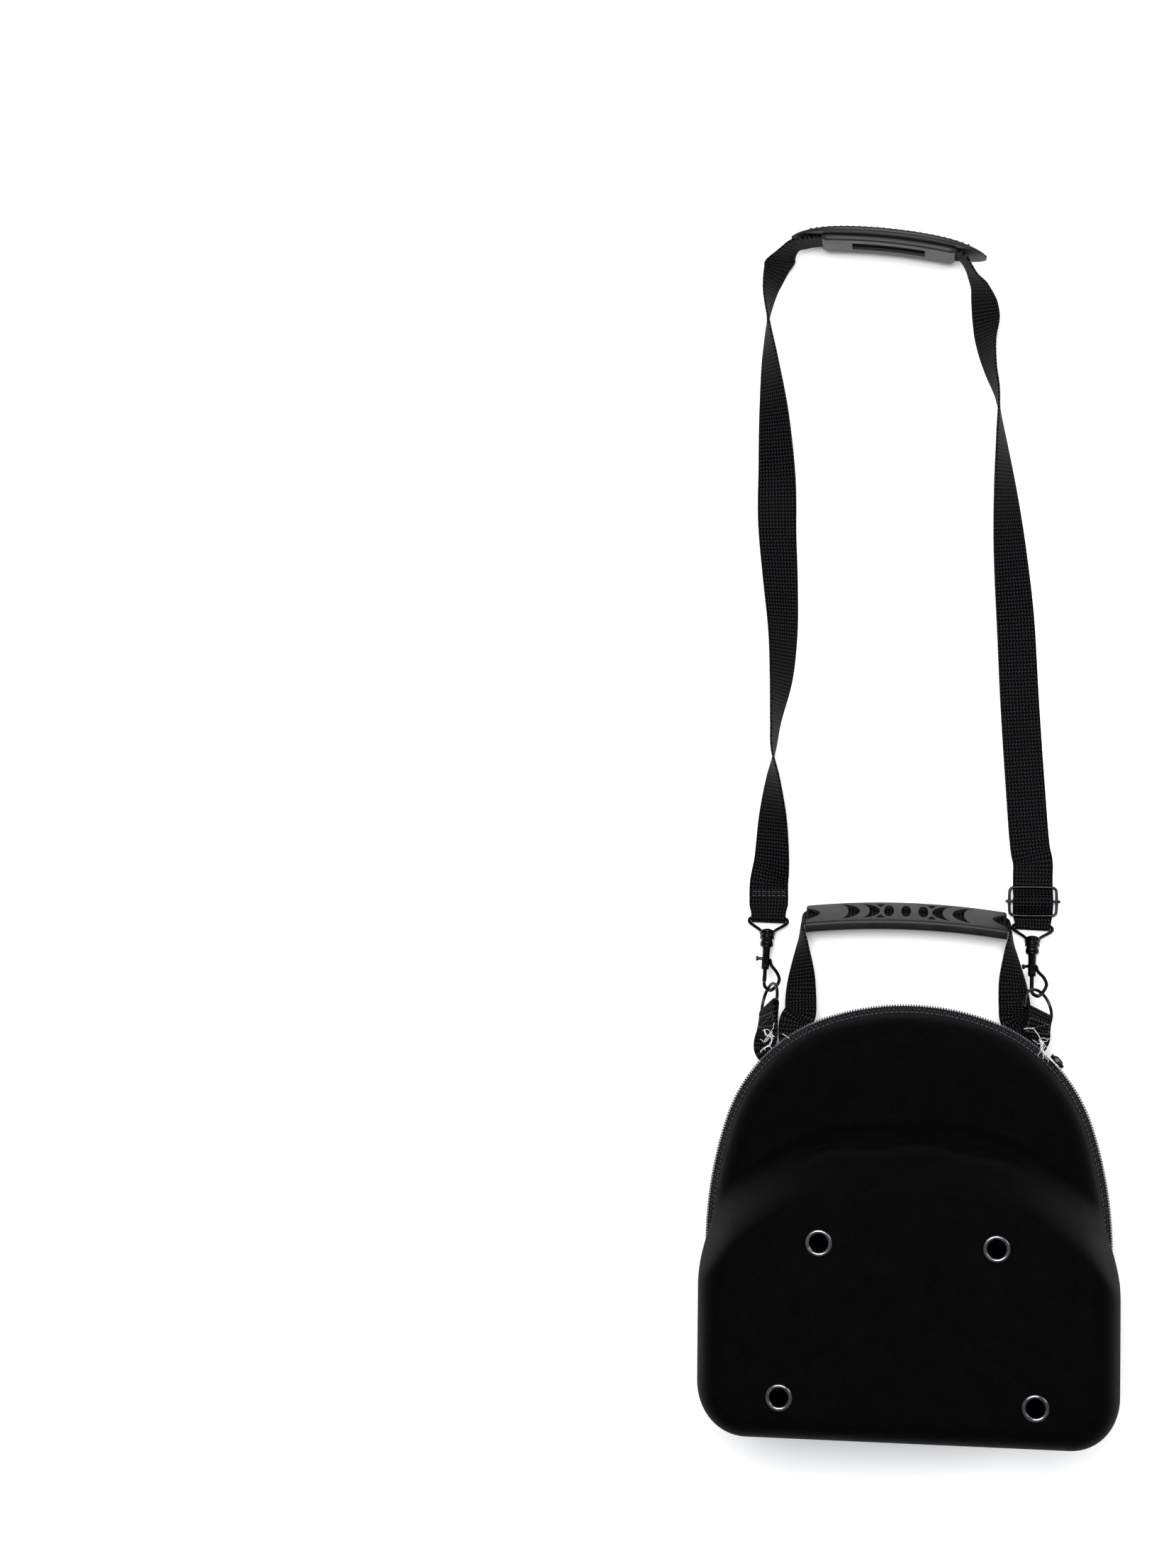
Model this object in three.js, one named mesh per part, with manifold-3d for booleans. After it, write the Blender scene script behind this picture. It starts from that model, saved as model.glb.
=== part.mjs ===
// A moulded carrying case for caps. Two hard foam shells meet at a zip, with a webbing
// handle in a moulded grip, and a shoulder strap on two swivel snap hooks.
// It lies on its flat back: X runs across the case, Y towards the strap, Z up.
// The origin is the middle of the back panel. Lengths are in millimetres.
import * as THREE from "three";
import { mergeVertices } from "three/addons/utils/BufferGeometryUtils.js";
import Module from "manifold-3d";

const wasm = await Module();
wasm.setup();

// The gap between pieces that touch, and between pieces that slide
const GAP = 0.3;

// The case outline at the rim of the shells
const CASE_WIDTH = 239;
const CASE_LENGTH = 243;
const CORNER_RADIUS = 26;
// Arcs from the top of the dome down to the side: radius as a share of half the width,
// and the heading at the arc's end in degrees. The last one closes on the straight side.
const DOME_ARCS = [
  { radiusShare: 1.213, endsAt: 20 },
  { radiusShare: 0.795, endsAt: 72 },
];

// Heights of the case above the floor
const BACK_RIM_HEIGHT = 44;
const ZIP_BAND_HEIGHT = 12;
const UPPER_FACE_HEIGHT = 84;
const FRONT_FACE_HEIGHT = 153;
const SHELL_WALL = 4;
const FRONT_RIM_HEIGHT = BACK_RIM_HEIGHT + ZIP_BAND_HEIGHT;
const CHAIN_HEIGHT = BACK_RIM_HEIGHT + ZIP_BAND_HEIGHT / 2;

// The rounded edges, and how far the deep lower part swells past the rim
const UPPER_EDGE_RADIUS = 17;
const LOWER_EDGE_RADIUS = 26;
const BACK_EDGE_RADIUS = 24;
const LOWER_SWELL = 6;

// The arched step up to the deep lower part, measured down from the top of the dome
const STEP_FROM_TOP = 59;
const STEP_RUN = 36;
const STEP_DROP_AT_SIDE = 60;
const STEP_CURVE = 2.7;
// The crease that the fabric makes across the step: its width as a share of the half width,
// its place as a share of the step's run, and its depth
const CREASE = { halfSpanShare: 0.52, stepShare: 0.42, depth: 1.6 };

// Rows of the shells' skins. On the rounded edge they are degrees from the rim, on the step
// they are shares of its run.
const AROUND = 50;
const OUTER_EDGE_ROWS = [18, 36, 54, 72, 90];
const INNER_EDGE_ROWS = [30, 60, 90];
const OUTER_STEP_ROWS = [0, 0.25, 0.42, 0.52, 0.75, 1];
const INNER_STEP_ROWS = [0, 0.5, 1];

// Eyelets in the front face: half their spacing, and how far the upper pair lies below the
// top of the step and the lower pair above the bottom of the case
const EYELET_HOLE = 10.5;
const EYELET_FLANGE = 16;
const EYELET_BARREL_WALL = 0.9;
const EYELET_SIDES = 14;
const EYELET_PAIRS = [
  { name: "upper", halfSpacing: 50.7, belowStep: 66.8 },
  { name: "lower", halfSpacing: 73, aboveBottom: 27.5 },
];

// The zip: how far it stands out from the rims, and the hinge strip it stops at
const CHAIN_REACH = 5;
const CHAIN_WIDTH = 4.6;
const CHAIN_THICKNESS = 2;
const TAPE_THICKNESS = 1.3;
const HINGE_LENGTH = 150;
const HINGE_THICKNESS = 1.5;
const ZIP_STEPS = 44;
const SLIDER = { length: 10, width: 8, thickness: 2.6, pullLength: 24, pullWidth: 6, pullThickness: 1.2 };
const SLIDER_FROM_TOP = 94.5;

// Webbing
const STRAP_WIDTH = 25;
const STRAP_THICKNESS = 1.4;
const HANDLE_WIDTH = 20;
const HANDLE_THICKNESS = 1.4;
const TAB_WIDTH = 20;
const TAB_THICKNESS = 1.2;

// Where the webbing leaves the seam, along the rim from the top of the dome
const HANDLE_FROM_TOP = 73.5;
const LEFT_TAB_FROM_TOP = 91.5;
const RIGHT_TAB_FROM_TOP = 77.3;
const TAB_SEAM_HEIGHT = BACK_RIM_HEIGHT - GAP - TAB_THICKNESS - GAP / 2;
const TAB_SEAM_BOTTOM = TAB_SEAM_HEIGHT - TAB_THICKNESS - GAP * 1.5;
const HANDLE_SEAM_HEIGHT = TAB_SEAM_BOTTOM - GAP - HANDLE_THICKNESS / 2;

// The moulded grip on the handle. It leans on its long edge.
const GRIP_LENGTH = 127;
const GRIP_WIDTH = 28;
const GRIP_THICKNESS = 7;
const GRIP_ARCH = 4.5;
const GRIP_LEAN = 66;
const GRIP_PLACE = { x: -1.9, pastTop: 54.5, turn: -1.2 };
const GRIP_NOTCH = 9;
const GRIP_MOUTH_FLARE = 22;
// Cut-outs in the grip's face. at: place along half the length, belly and back: how far the
// two sides of the shape bow, both as shares of half the length; tall: share of the width.
const GRIP_CUTS = [
  { at: 0.66, belly: -0.2, back: -0.09, tall: 0.72 },
  { at: 0.46, belly: -0.2, back: -0.1, tall: 0.72 },
  { at: 0.17, belly: 0.047, back: -0.047, tall: 0.56 },
];

// Wire sizes and the polygons that stand for them
const RING_WIRE = 2;
const HOOK_WIRE = 2.2;
const BAIL_WIRE = 2;
const FRAME_WIRE = 1.8;
const WIRE_SIDES = 6;

// Tab rings: the reach is from the bar to the far side of the bow
const RING_REACH = 16;
const RING_SIDE = 3;

// Swivel snap hook, measured down its own axis from the top of the collar
const COLLAR_RADIUS = 4.9;
const COLLAR_LENGTH = 7;
const SWIVEL_RADIUS = 4.2;
const SWIVEL_LENGTH = 4;
const STEM_RADIUS = 1.4;
const BARREL_RADIUS = 2.5;
const BARREL_LENGTH = 15;
const BOLT_RADIUS = 1.3;
const BOLT_LENGTH = 17.6;
const BOLT_TRAVEL = 6;
const KNOB_RADIUS = 1;
const KNOB_REACH = 6.2;
const KNOB_FROM_BOLT_TOP = 1.1;
const EYE_LENGTH = 15.5;
const EYE_BELLY = 9.4;
const EYE_BOTTOM = 4.2;
const BAIL_HEIGHT = 10;
const BAIL_SQUEEZE = 0.88;

// The strap's adjuster
const ADJUSTER_WIDTH = 31;
const ADJUSTER_LENGTH = 19.5;
const ADJUSTER_HEIGHT = 4.6;
const ADJUSTER_TO_BAIL = 15.6;

// The shoulder pad. It stands on its long edge.
const PAD_LENGTH = 124;
const PAD_WIDTH = 50;
const PAD_THICKNESS = 3;
const PAD_ARCH = 5;
const PAD_PLACE = { x: -15.7, pastTop: 483, turn: -7.35 };
const SLEEVE_LENGTH = 84;
const SLEEVE_WALL = 2;
const SLEEVE_WINDOW = 46;

// Where the tab rings' bars lie, past the top of the case, and how the two hooks lie: the heading in plan and how far
// the hook is turned about its own axis, in degrees
const HOOK_SIDES = [
  {
    name: "left",
    tabFromTop: -LEFT_TAB_FROM_TOP,
    bar: { x: -87, pastTop: 0.5, z: 36, stand: 67 },
    heading: 1.5,
    roll: 0,
  },
  {
    name: "right",
    tabFromTop: RIGHT_TAB_FROM_TOP,
    bar: { x: 79.6, pastTop: 0.5, z: 39.4, stand: -45 },
    heading: 2.6,
    roll: -20,
  },
];

// Routes. The strap's rows follow the webbing from the left hook over the pad to the right
// hook: x and y as shares of the loop's half width and length past the hooks, stand in
// degrees, where 0 lies flat and 90 stands on edge.
const LOOP_HALF_WIDTH = 80;
const LOOP_LENGTH = 420;
const LEFT_STRAP_ROWS = [
  { x: -1.085, y: 0.085, stand: -142 },
  { x: -1.08, y: 0.155, stand: -125 },
  { x: -1.087, y: 0.22, stand: -100 },
  { x: -1.087, y: 0.26, stand: -88 },
  { x: -1.07, y: 0.305, stand: -78 },
  { x: -1.03, y: 0.37, stand: -58 },
  { x: -1.02, y: 0.44, stand: -45 },
  { x: -1.045, y: 0.52, stand: -30 },
  { x: -1.075, y: 0.6, stand: -14 },
  { x: -1.085, y: 0.69, stand: 16 },
  { x: -1.11, y: 0.78, stand: 40 },
  { x: -1.145, y: 0.865, stand: 66 },
  { x: -1.16, y: 0.925, stand: 88 },
  { x: -1.14, y: 0.968, stand: 108, lift: 0.05 },
  { x: -1.09, y: 0.998, stand: 120, lift: 0.14 },
  { x: -1.03, y: 1.013, stand: 108, lift: 0.29 },
];
// The strap in the pad's sleeve: share is the place along half the pad, clear is how far the
// strap stands off its seat as a share of its thickness, and sink is how far it hangs below
// the sleeve as a share of its width.
const PAD_STRAP_ROWS = [
  { share: -0.97, clear: 1.4, sink: 0.1, stand: 95 },
  { share: -0.84, clear: 0.5, sink: 0.02, stand: 91 },
  { share: -0.66, clear: 0, sink: 0, stand: 90 },
  { share: -0.4, clear: 0, sink: 0, stand: 90 },
  { share: 0, clear: 0, sink: 0, stand: 90 },
  { share: 0.4, clear: 0, sink: 0, stand: 90 },
  { share: 0.62, clear: 0, sink: 0, stand: 90 },
  { share: 0.69, clear: 0.1, sink: 0, stand: 90 },
  { share: 0.76, clear: 0.8, sink: 0.02, stand: 90 },
];
const RIGHT_STRAP_ROWS = [
  { x: 0.47, y: 0.978, stand: 93, lift: 0.3 },
  { x: 0.525, y: 0.962, stand: 106, lift: 0.18 },
  { x: 0.56, y: 0.94, stand: 124, lift: 0.09 },
  { x: 0.577, y: 0.914, stand: 130, lift: 0.03 },
  { x: 0.58, y: 0.88, stand: 117 },
  { x: 0.615, y: 0.84, stand: 104 },
  { x: 0.67, y: 0.8, stand: 92 },
  { x: 0.7, y: 0.74, stand: 76 },
  { x: 0.735, y: 0.66, stand: 55 },
  { x: 0.775, y: 0.57, stand: 34 },
  { x: 0.82, y: 0.46, stand: 16 },
  { x: 0.85, y: 0.33, stand: 10 },
  { x: 0.885, y: 0.21, stand: 7 },
  { x: 0.925, y: 0.11, stand: 3 },
];
// The handle webbing between the seam and the grip, on the left and mirrored on the right:
// x and y as shares of the way from the seam to the grip's end, rise as a share of the drop
// from the seam to the grip, stand in degrees.
const HANDLE_ROWS = [
  { along: 0.25, side: 0.03, height: 0.72, stand: 2 },
  { along: 0.36, side: 0.1, height: 0.4, stand: 8 },
  { along: 0.48, side: 0.2, height: 0.34, stand: 22 },
  { along: 0.64, side: 0.35, height: 0.2, stand: 44 },
  { along: 0.84, side: 0.5, height: 0.08, stand: 70 },
];

const HALF = CASE_WIDTH / 2;
const CASE_TOP = CASE_LENGTH / 2;
const STEP_TOP = CASE_TOP - STEP_FROM_TOP;

const mix = (a, b, share) => a + (b - a) * share;
const clamp = (value, low, high) => Math.min(Math.max(value, low), high);
const vec = (x, y, z) => new THREE.Vector3(x, y, z);
const radians = THREE.MathUtils.degToRad;

function smooth(share) {
  const t = clamp(share, 0, 1);
  return t * t * (3 - 2 * t);
}

// Closed bodies

// Skins rings of points into one closed body. A ring of one point is a tip. The first point
// of an end ring has to see all the others. With loop the last ring joins the first.
function loft(rings, loop = false) {
  const positions = [];
  const starts = [];
  for (const ring of rings) {
    starts.push(positions.length / 3);
    for (const point of ring) {
      positions.push(point.x, point.y, point.z);
    }
  }
  const triangles = [];
  const bands = loop ? rings.length : rings.length - 1;
  const points = rings.flat();
  const apart = (one, other) => points[one].distanceToSquared(points[other]);
  for (let i = 0; i < bands; i += 1) {
    const next = (i + 1) % rings.length;
    joinRings(triangles, starts[i], rings[i].length, starts[next], rings[next].length, apart);
  }
  if (!loop) {
    capRing(triangles, starts[0], rings[0].length, true);
    capRing(triangles, starts.at(-1), rings.at(-1).length, false);
  }
  const geometry = new THREE.BufferGeometry();
  geometry.setAttribute("position", new THREE.Float32BufferAttribute(positions, 3));
  geometry.setIndex(triangles);
  return facingOut(geometry);
}

// Each quad between two rings is split along its shorter diagonal.
function joinRings(triangles, first, firstCount, second, secondCount, apart) {
  const count = Math.max(firstCount, secondCount);
  for (let j = 0; j < count; j += 1) {
    const k = (j + 1) % count;
    if (secondCount === 1) {
      triangles.push(first + j, first + k, second);
    } else if (firstCount === 1) {
      triangles.push(first, second + k, second + j);
    } else if (apart(first + j, second + k) <= apart(first + k, second + j)) {
      triangles.push(first + j, first + k, second + k);
      triangles.push(first + j, second + k, second + j);
    } else {
      triangles.push(first + j, first + k, second + j);
      triangles.push(first + k, second + k, second + j);
    }
  }
}

function capRing(triangles, start, count, first) {
  for (let j = 1; j < count - 1; j += 1) {
    if (first) {
      triangles.push(start, start + j + 1, start + j);
    } else {
      triangles.push(start, start + j, start + j + 1);
    }
  }
}

// Turns every triangle round if the body encloses a negative volume.
function facingOut(geometry) {
  const position = geometry.attributes.position;
  const index = geometry.index.array;
  const [a, b, c] = [vec(), vec(), vec()];
  let volume = 0;
  for (let i = 0; i < index.length; i += 3) {
    a.fromBufferAttribute(position, index[i]);
    b.fromBufferAttribute(position, index[i + 1]);
    c.fromBufferAttribute(position, index[i + 2]);
    volume += a.dot(b.cross(c));
  }
  if (volume < 0) {
    const turned = Array.from(index);
    for (let i = 0; i < turned.length; i += 3) {
      [turned[i + 1], turned[i + 2]] = [turned[i + 2], turned[i + 1]];
    }
    geometry.setIndex(turned);
  }
  return geometry;
}

function toSolid(geometry) {
  const bare = geometry.clone();
  bare.deleteAttribute("normal");
  bare.deleteAttribute("uv");
  const merged = mergeVertices(bare, 1e-4);
  return new wasm.Manifold(new wasm.Mesh({
    numProp: 3,
    vertProperties: new Float32Array(merged.attributes.position.array),
    triVerts: new Uint32Array(merged.index.array),
  }));
}

function toGeometry(solid) {
  const mesh = solid.getMesh();
  const geometry = new THREE.BufferGeometry();
  geometry.setAttribute("position", new THREE.BufferAttribute(new Float32Array(mesh.vertProperties), 3));
  geometry.setIndex(new THREE.BufferAttribute(new Uint32Array(mesh.triVerts), 1));
  return geometry;
}

const cut = (geometry, ...tools) =>
  toGeometry(tools.reduce((solid, tool) => solid.subtract(toSolid(tool)), toSolid(geometry)));
const fuse = (geometry, ...others) =>
  toGeometry(others.reduce((solid, other) => solid.add(toSolid(other)), toSolid(geometry)));

// A round section swept along points, open or as a closed ring.
function wire(points, diameter, loop = false, sides = WIRE_SIDES) {
  const count = points.length;
  const rings = [];
  let side = null;
  for (let i = 0; i < count; i += 1) {
    const before = loop ? points[(i + count - 1) % count] : points[Math.max(i - 1, 0)];
    const after = loop ? points[(i + 1) % count] : points[Math.min(i + 1, count - 1)];
    const along = after.clone().sub(before).normalize();
    side = side ?? firstSide(along);
    side = side.clone().addScaledVector(along, -side.dot(along)).normalize();
    const up = along.clone().cross(side);
    rings.push(circle(points[i], side, up, diameter / 2, sides));
  }
  return loft(rings, loop);
}

function firstSide(along) {
  const flat = vec(0, 0, 1).cross(along);
  return flat.lengthSq() > 0.01 ? flat.normalize() : vec(1, 0, 0);
}

function circle(centre, side, up, radius, sides) {
  const ring = [];
  for (let j = 0; j < sides; j += 1) {
    const angle = ((j + 0.5) / sides) * 2 * Math.PI;
    ring.push(centre.clone()
      .addScaledVector(side, radius * Math.cos(angle))
      .addScaledVector(up, radius * Math.sin(angle)));
  }
  return ring;
}

// A turned piece on the Y axis from rows of radius and distance down the axis.
function turned(rows, sides, closed = false) {
  const profile = rows.map(([radius, down]) => new THREE.Vector2(radius, -down));
  if (closed) {
    profile.push(profile[0].clone());
  }
  const lathe = new THREE.LatheGeometry(profile, sides);
  lathe.deleteAttribute("normal");
  lathe.deleteAttribute("uv");
  return facingOut(dropSlivers(mergeVertices(lathe, 1e-4)));
}

function dropSlivers(geometry) {
  const index = geometry.index.array;
  const kept = [];
  for (let i = 0; i < index.length; i += 3) {
    const [a, b, c] = [index[i], index[i + 1], index[i + 2]];
    if (a !== b && b !== c && c !== a) {
      kept.push(a, b, c);
    }
  }
  geometry.setIndex(kept);
  return geometry;
}

// The rim outline

// The right half of the outline from the top of the dome to the middle of the bottom edge,
// as arcs and straight lines that run on smoothly.
function outlinePieces() {
  const pieces = [];
  let heading = 0;
  let start = vec(0, CASE_TOP, 0);
  const addArc = (radius, endsAt) => {
    const from = radians(heading);
    const centre = vec(start.x - radius * Math.sin(from), start.y - radius * Math.cos(from), 0);
    const to = radians(endsAt);
    pieces.push({ radius, centre, from, length: radius * (to - from) });
    heading = endsAt;
    start = vec(centre.x + radius * Math.sin(to), centre.y + radius * Math.cos(to), 0);
  };
  const addLine = (end) => {
    pieces.push({ start, from: radians(heading), length: start.distanceTo(end) });
    start = end;
  };
  for (const arc of DOME_ARCS) {
    addArc(arc.radiusShare * HALF, arc.endsAt);
  }
  addArc((HALF - start.x) / (1 - Math.sin(radians(heading))), 90);
  addLine(vec(HALF, -CASE_TOP + CORNER_RADIUS, 0));
  addArc(CORNER_RADIUS, 180);
  addLine(vec(0, -CASE_TOP, 0));
  return pieces;
}

const OUTLINE = outlinePieces();
const HALF_OUTLINE = OUTLINE.reduce((sum, piece) => sum + piece.length, 0);

// A point of the rim outline, its outward normal and the direction of travel, by the distance
// from the top of the dome, to the right if positive. offset moves the point outwards.
function rim(distance, offset = 0) {
  const side = distance < 0 ? -1 : 1;
  let left = Math.abs(distance);
  let piece = OUTLINE[0];
  for (piece of OUTLINE) {
    if (left <= piece.length) {
      break;
    }
    left -= piece.length;
  }
  left = Math.min(left, piece.length);
  const angle = piece.radius ? piece.from + left / piece.radius : piece.from;
  const normal = vec(Math.sin(angle), Math.cos(angle), 0);
  const along = vec(Math.cos(angle), -Math.sin(angle), 0);
  const point = piece.radius
    ? piece.centre.clone().addScaledVector(normal, piece.radius + offset)
    : piece.start.clone().addScaledVector(along, left).addScaledVector(normal, offset);
  point.x *= side;
  normal.x *= side;
  along.y *= side;
  return { point, normal, along };
}

// The shells

// How far a place on the front is through the arched step: 0 above it, 1 on the deep part.
function stepShare(x, y) {
  const drop = STEP_DROP_AT_SIDE * Math.abs(x / HALF) ** STEP_CURVE;
  return (STEP_TOP - drop - y) / STEP_RUN;
}

function creaseDepth(x, share) {
  const across = clamp(1 - Math.abs(x / HALF) / CREASE.halfSpanShare, 0, 1);
  const near = clamp(1 - Math.abs(share - CREASE.stepShare) * 10, 0, 1);
  return CREASE.depth * smooth(across * 3) * near;
}

function frontHeight(x, y) {
  const share = stepShare(x, y);
  return mix(UPPER_FACE_HEIGHT, FRONT_FACE_HEIGHT, smooth(share)) - creaseDepth(x, share);
}

// One row of a shell's rounded edge. angle 0 is the rim and 90 the start of the face.
function frontEdgePoint(distance, angle, wall) {
  const { point } = rim(distance);
  const lift = smooth(stepShare(point.x, point.y));
  const radius = mix(UPPER_EDGE_RADIUS, LOWER_EDGE_RADIUS, lift) - wall;
  const power = 2 / mix(2.2, 3.2, lift);
  const height = Math.sin(radians(angle)) ** power;
  const inset = radius * (1 - Math.abs(Math.cos(radians(angle))) ** power);
  const swell = LOWER_SWELL * lift * smooth(height / 0.35);
  const place = rim(distance, swell - inset - wall).point;
  place.z = mix(FRONT_RIM_HEIGHT, frontHeight(place.x, place.y) - wall, height);
  return place;
}

// The share of the way from an edge point to the middle where the step share is reached.
// The inner skin's step lies lower by the shift.
function reach(edge, middle, share, shift) {
  let low = 0;
  let high = 1;
  for (let i = 0; i < 30; i += 1) {
    const half = (low + high) / 2;
    const x = mix(edge.x, middle.x, half);
    const y = mix(edge.y, middle.y, half);
    if (stepShare(x, y + shift) < share) {
      low = half;
    } else {
      high = half;
    }
  }
  return high;
}

function aroundRim(make) {
  const ring = [];
  for (let j = 0; j < AROUND; j += 1) {
    ring.push(make(((j / AROUND) * 2 - 1) * HALF_OUTLINE));
  }
  return ring;
}

// The rings of one skin of the front shell, from the rim to the tip in the middle of the face.
function frontSkin(edgeRows, stepRows, wall) {
  const rings = [aroundRim((d) => frontEdgePoint(d, 0, wall))];
  for (const angle of edgeRows) {
    rings.push(aroundRim((d) => frontEdgePoint(d, angle, wall)));
  }
  const middle = vec(0, STEP_TOP - STEP_RUN * 2.6, 0);
  const shift = wall * 0.8;
  const onFace = (d, share) => {
    const edge = frontEdgePoint(d, 90, wall);
    const x = mix(edge.x, middle.x, share);
    const y = mix(edge.y, middle.y, share);
    return vec(x, y, frontHeight(x, y + shift) - wall);
  };
  const stepPlaces = (d) => {
    const edge = frontEdgePoint(d, 90, wall);
    const least = 0.06;
    return stepRows.map((share, i) => Math.max(reach(edge, middle, share, shift), least * (i + 2)));
  };
  const places = aroundRim((d) => ({ d, shares: stepPlaces(d) }));
  rings.push(places.map(({ d, shares }) => onFace(d, shares[0] / 2)));
  stepRows.forEach((row, i) => {
    rings.push(places.map(({ d, shares }) => onFace(d, shares[i])));
  });
  rings.push(places.map(({ d, shares }) => onFace(d, mix(shares.at(-1), 1, 0.5))));
  rings.push([vec(middle.x, middle.y, frontHeight(middle.x, middle.y) - wall)]);
  return rings;
}

function frontShell() {
  const outer = frontSkin(OUTER_EDGE_ROWS, OUTER_STEP_ROWS, 0);
  const inner = frontSkin(INNER_EDGE_ROWS, INNER_STEP_ROWS, SHELL_WALL);
  const shell = loft([...outer.reverse(), ...inner]);
  const drills = eyeletPlaces().map(({ x, y }) => {
    const radius = EYELET_HOLE / 2 + EYELET_BARREL_WALL + GAP;
    const drill = new THREE.CylinderGeometry(radius, radius, 40, EYELET_SIDES);
    return drill.rotateX(Math.PI / 2).translate(x, y, FRONT_FACE_HEIGHT);
  });
  return cut(shell, ...drills);
}

function backEdgePoint(distance, angle, wall) {
  const radius = BACK_EDGE_RADIUS - wall;
  const power = 2 / 2.6;
  const height = Math.sin(radians(angle)) ** power;
  const inset = radius * (1 - Math.abs(Math.cos(radians(angle))) ** power);
  const place = rim(distance, -inset - wall).point;
  place.z = mix(BACK_RIM_HEIGHT, wall, height);
  return place;
}

function backSkin(wall, rows) {
  const rings = [aroundRim((d) => backEdgePoint(d, 0, wall))];
  for (const angle of rows) {
    rings.push(aroundRim((d) => backEdgePoint(d, angle, wall)));
  }
  rings.push([vec(0, 0, wall)]);
  return rings;
}

// The back shell, with slots in its rim where the webbing is sewn into the seam.
function backShell() {
  const outer = backSkin(0, [20, 42, 66, 90]);
  const inner = backSkin(SHELL_WALL, INNER_EDGE_ROWS);
  const shell = loft([...outer.reverse(), ...inner]);
  const slots = [-HANDLE_FROM_TOP, HANDLE_FROM_TOP].map((from) => seamSlot(
    from, HANDLE_WIDTH, HANDLE_SEAM_HEIGHT - HANDLE_THICKNESS / 2 - GAP,
    HANDLE_SEAM_HEIGHT + HANDLE_THICKNESS / 2 + GAP,
  ));
  for (const side of HOOK_SIDES) {
    slots.push(seamSlot(side.tabFromTop, TAB_WIDTH, TAB_SEAM_BOTTOM, BACK_RIM_HEIGHT + 1));
  }
  return cut(shell, ...slots);
}

function seamSlot(fromTop, width, bottom, top) {
  const { point, normal } = rim(fromTop, -SHELL_WALL / 2);
  const slot = new THREE.BoxGeometry(width + 2 * GAP, SHELL_WALL * 3, top - bottom);
  slot.rotateZ(Math.atan2(-normal.x, normal.y));
  return slot.translate(point.x, point.y, (top + bottom) / 2);
}

function eyeletPlaces() {
  return EYELET_PAIRS.flatMap(({ name, halfSpacing, belowStep, aboveBottom }) => {
    const y = belowStep ? STEP_TOP - belowStep : aboveBottom - CASE_TOP;
    return [
      { name: `eyelet_${name}_left`, x: -halfSpacing, y },
      { name: `eyelet_${name}_right`, x: halfSpacing, y },
    ];
  });
}

// A pressed eyelet: a rolled flange outside, a barrel through the wall and a washer inside.
function eyelet() {
  const hole = EYELET_HOLE / 2;
  const barrel = hole + EYELET_BARREL_WALL;
  const flange = EYELET_FLANGE / 2;
  const under = SHELL_WALL + GAP;
  const rows = [
    [hole, -1.1], [hole + 1, -1.6], [flange - 0.8, -1.3], [flange, -GAP], [barrel, -GAP],
    [barrel, under], [flange - 1.2, under], [flange - 1.2, under + 0.8], [hole, under + 0.8],
  ];
  return turned(rows, EYELET_SIDES, true).rotateX(Math.PI / 2);
}

// The zip

// A section carried along the rim outline. Rows are offset out from the rim and height.
function rimStrip(from, to, steps, section) {
  const rings = [];
  for (let i = 0; i <= steps; i += 1) {
    const distance = mix(from, to, i / steps);
    rings.push(section.map(([offset, height]) => {
      const { point } = rim(distance, offset);
      return vec(point.x, point.y, height);
    }));
  }
  return loft(rings);
}

const ZIP_END = HALF_OUTLINE - HINGE_LENGTH / 2 - GAP;
const CHAIN_OUT = CHAIN_REACH;
const CHAIN_IN = CHAIN_REACH - CHAIN_THICKNESS;

function zipTape(direction, rimHeight) {
  const height = (share) => CHAIN_HEIGHT + direction * share;
  const edge = CHAIN_WIDTH / 2 + GAP;
  const seat = direction * (rimHeight - CHAIN_HEIGHT) - GAP;
  const section = [
    [0.2, height(seat)],
    [CHAIN_OUT - 0.4, height(edge)],
    [CHAIN_IN - 0.2, height(edge)],
    [-0.6, height(seat - TAPE_THICKNESS)],
    [GAP - SHELL_WALL, height(seat - TAPE_THICKNESS)],
    [GAP - SHELL_WALL, height(seat)],
  ];
  return rimStrip(-ZIP_END, ZIP_END, ZIP_STEPS, section);
}

function zipChain() {
  const half = CHAIN_WIDTH / 2;
  const section = [
    [CHAIN_OUT, CHAIN_HEIGHT + half * 0.4],
    [CHAIN_OUT - 0.6, CHAIN_HEIGHT + half],
    [CHAIN_IN, CHAIN_HEIGHT + half],
    [CHAIN_IN, CHAIN_HEIGHT - half],
    [CHAIN_OUT - 0.6, CHAIN_HEIGHT - half],
    [CHAIN_OUT, CHAIN_HEIGHT - half * 0.4],
  ];
  return rimStrip(-ZIP_END, ZIP_END, ZIP_STEPS, section);
}

function bottomHinge() {
  const low = BACK_RIM_HEIGHT + GAP;
  const high = FRONT_RIM_HEIGHT - GAP;
  const section = [
    [HINGE_THICKNESS, CHAIN_HEIGHT], [0, high], [-HINGE_THICKNESS, high],
    [0, CHAIN_HEIGHT], [-HINGE_THICKNESS, low], [0, low],
  ];
  const rings = [-1, 1].map((side) => section.map(([offset, height]) => vec(
    (side * HINGE_LENGTH) / 2, -CASE_TOP - offset, height,
  )));
  return loft(rings);
}

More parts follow.
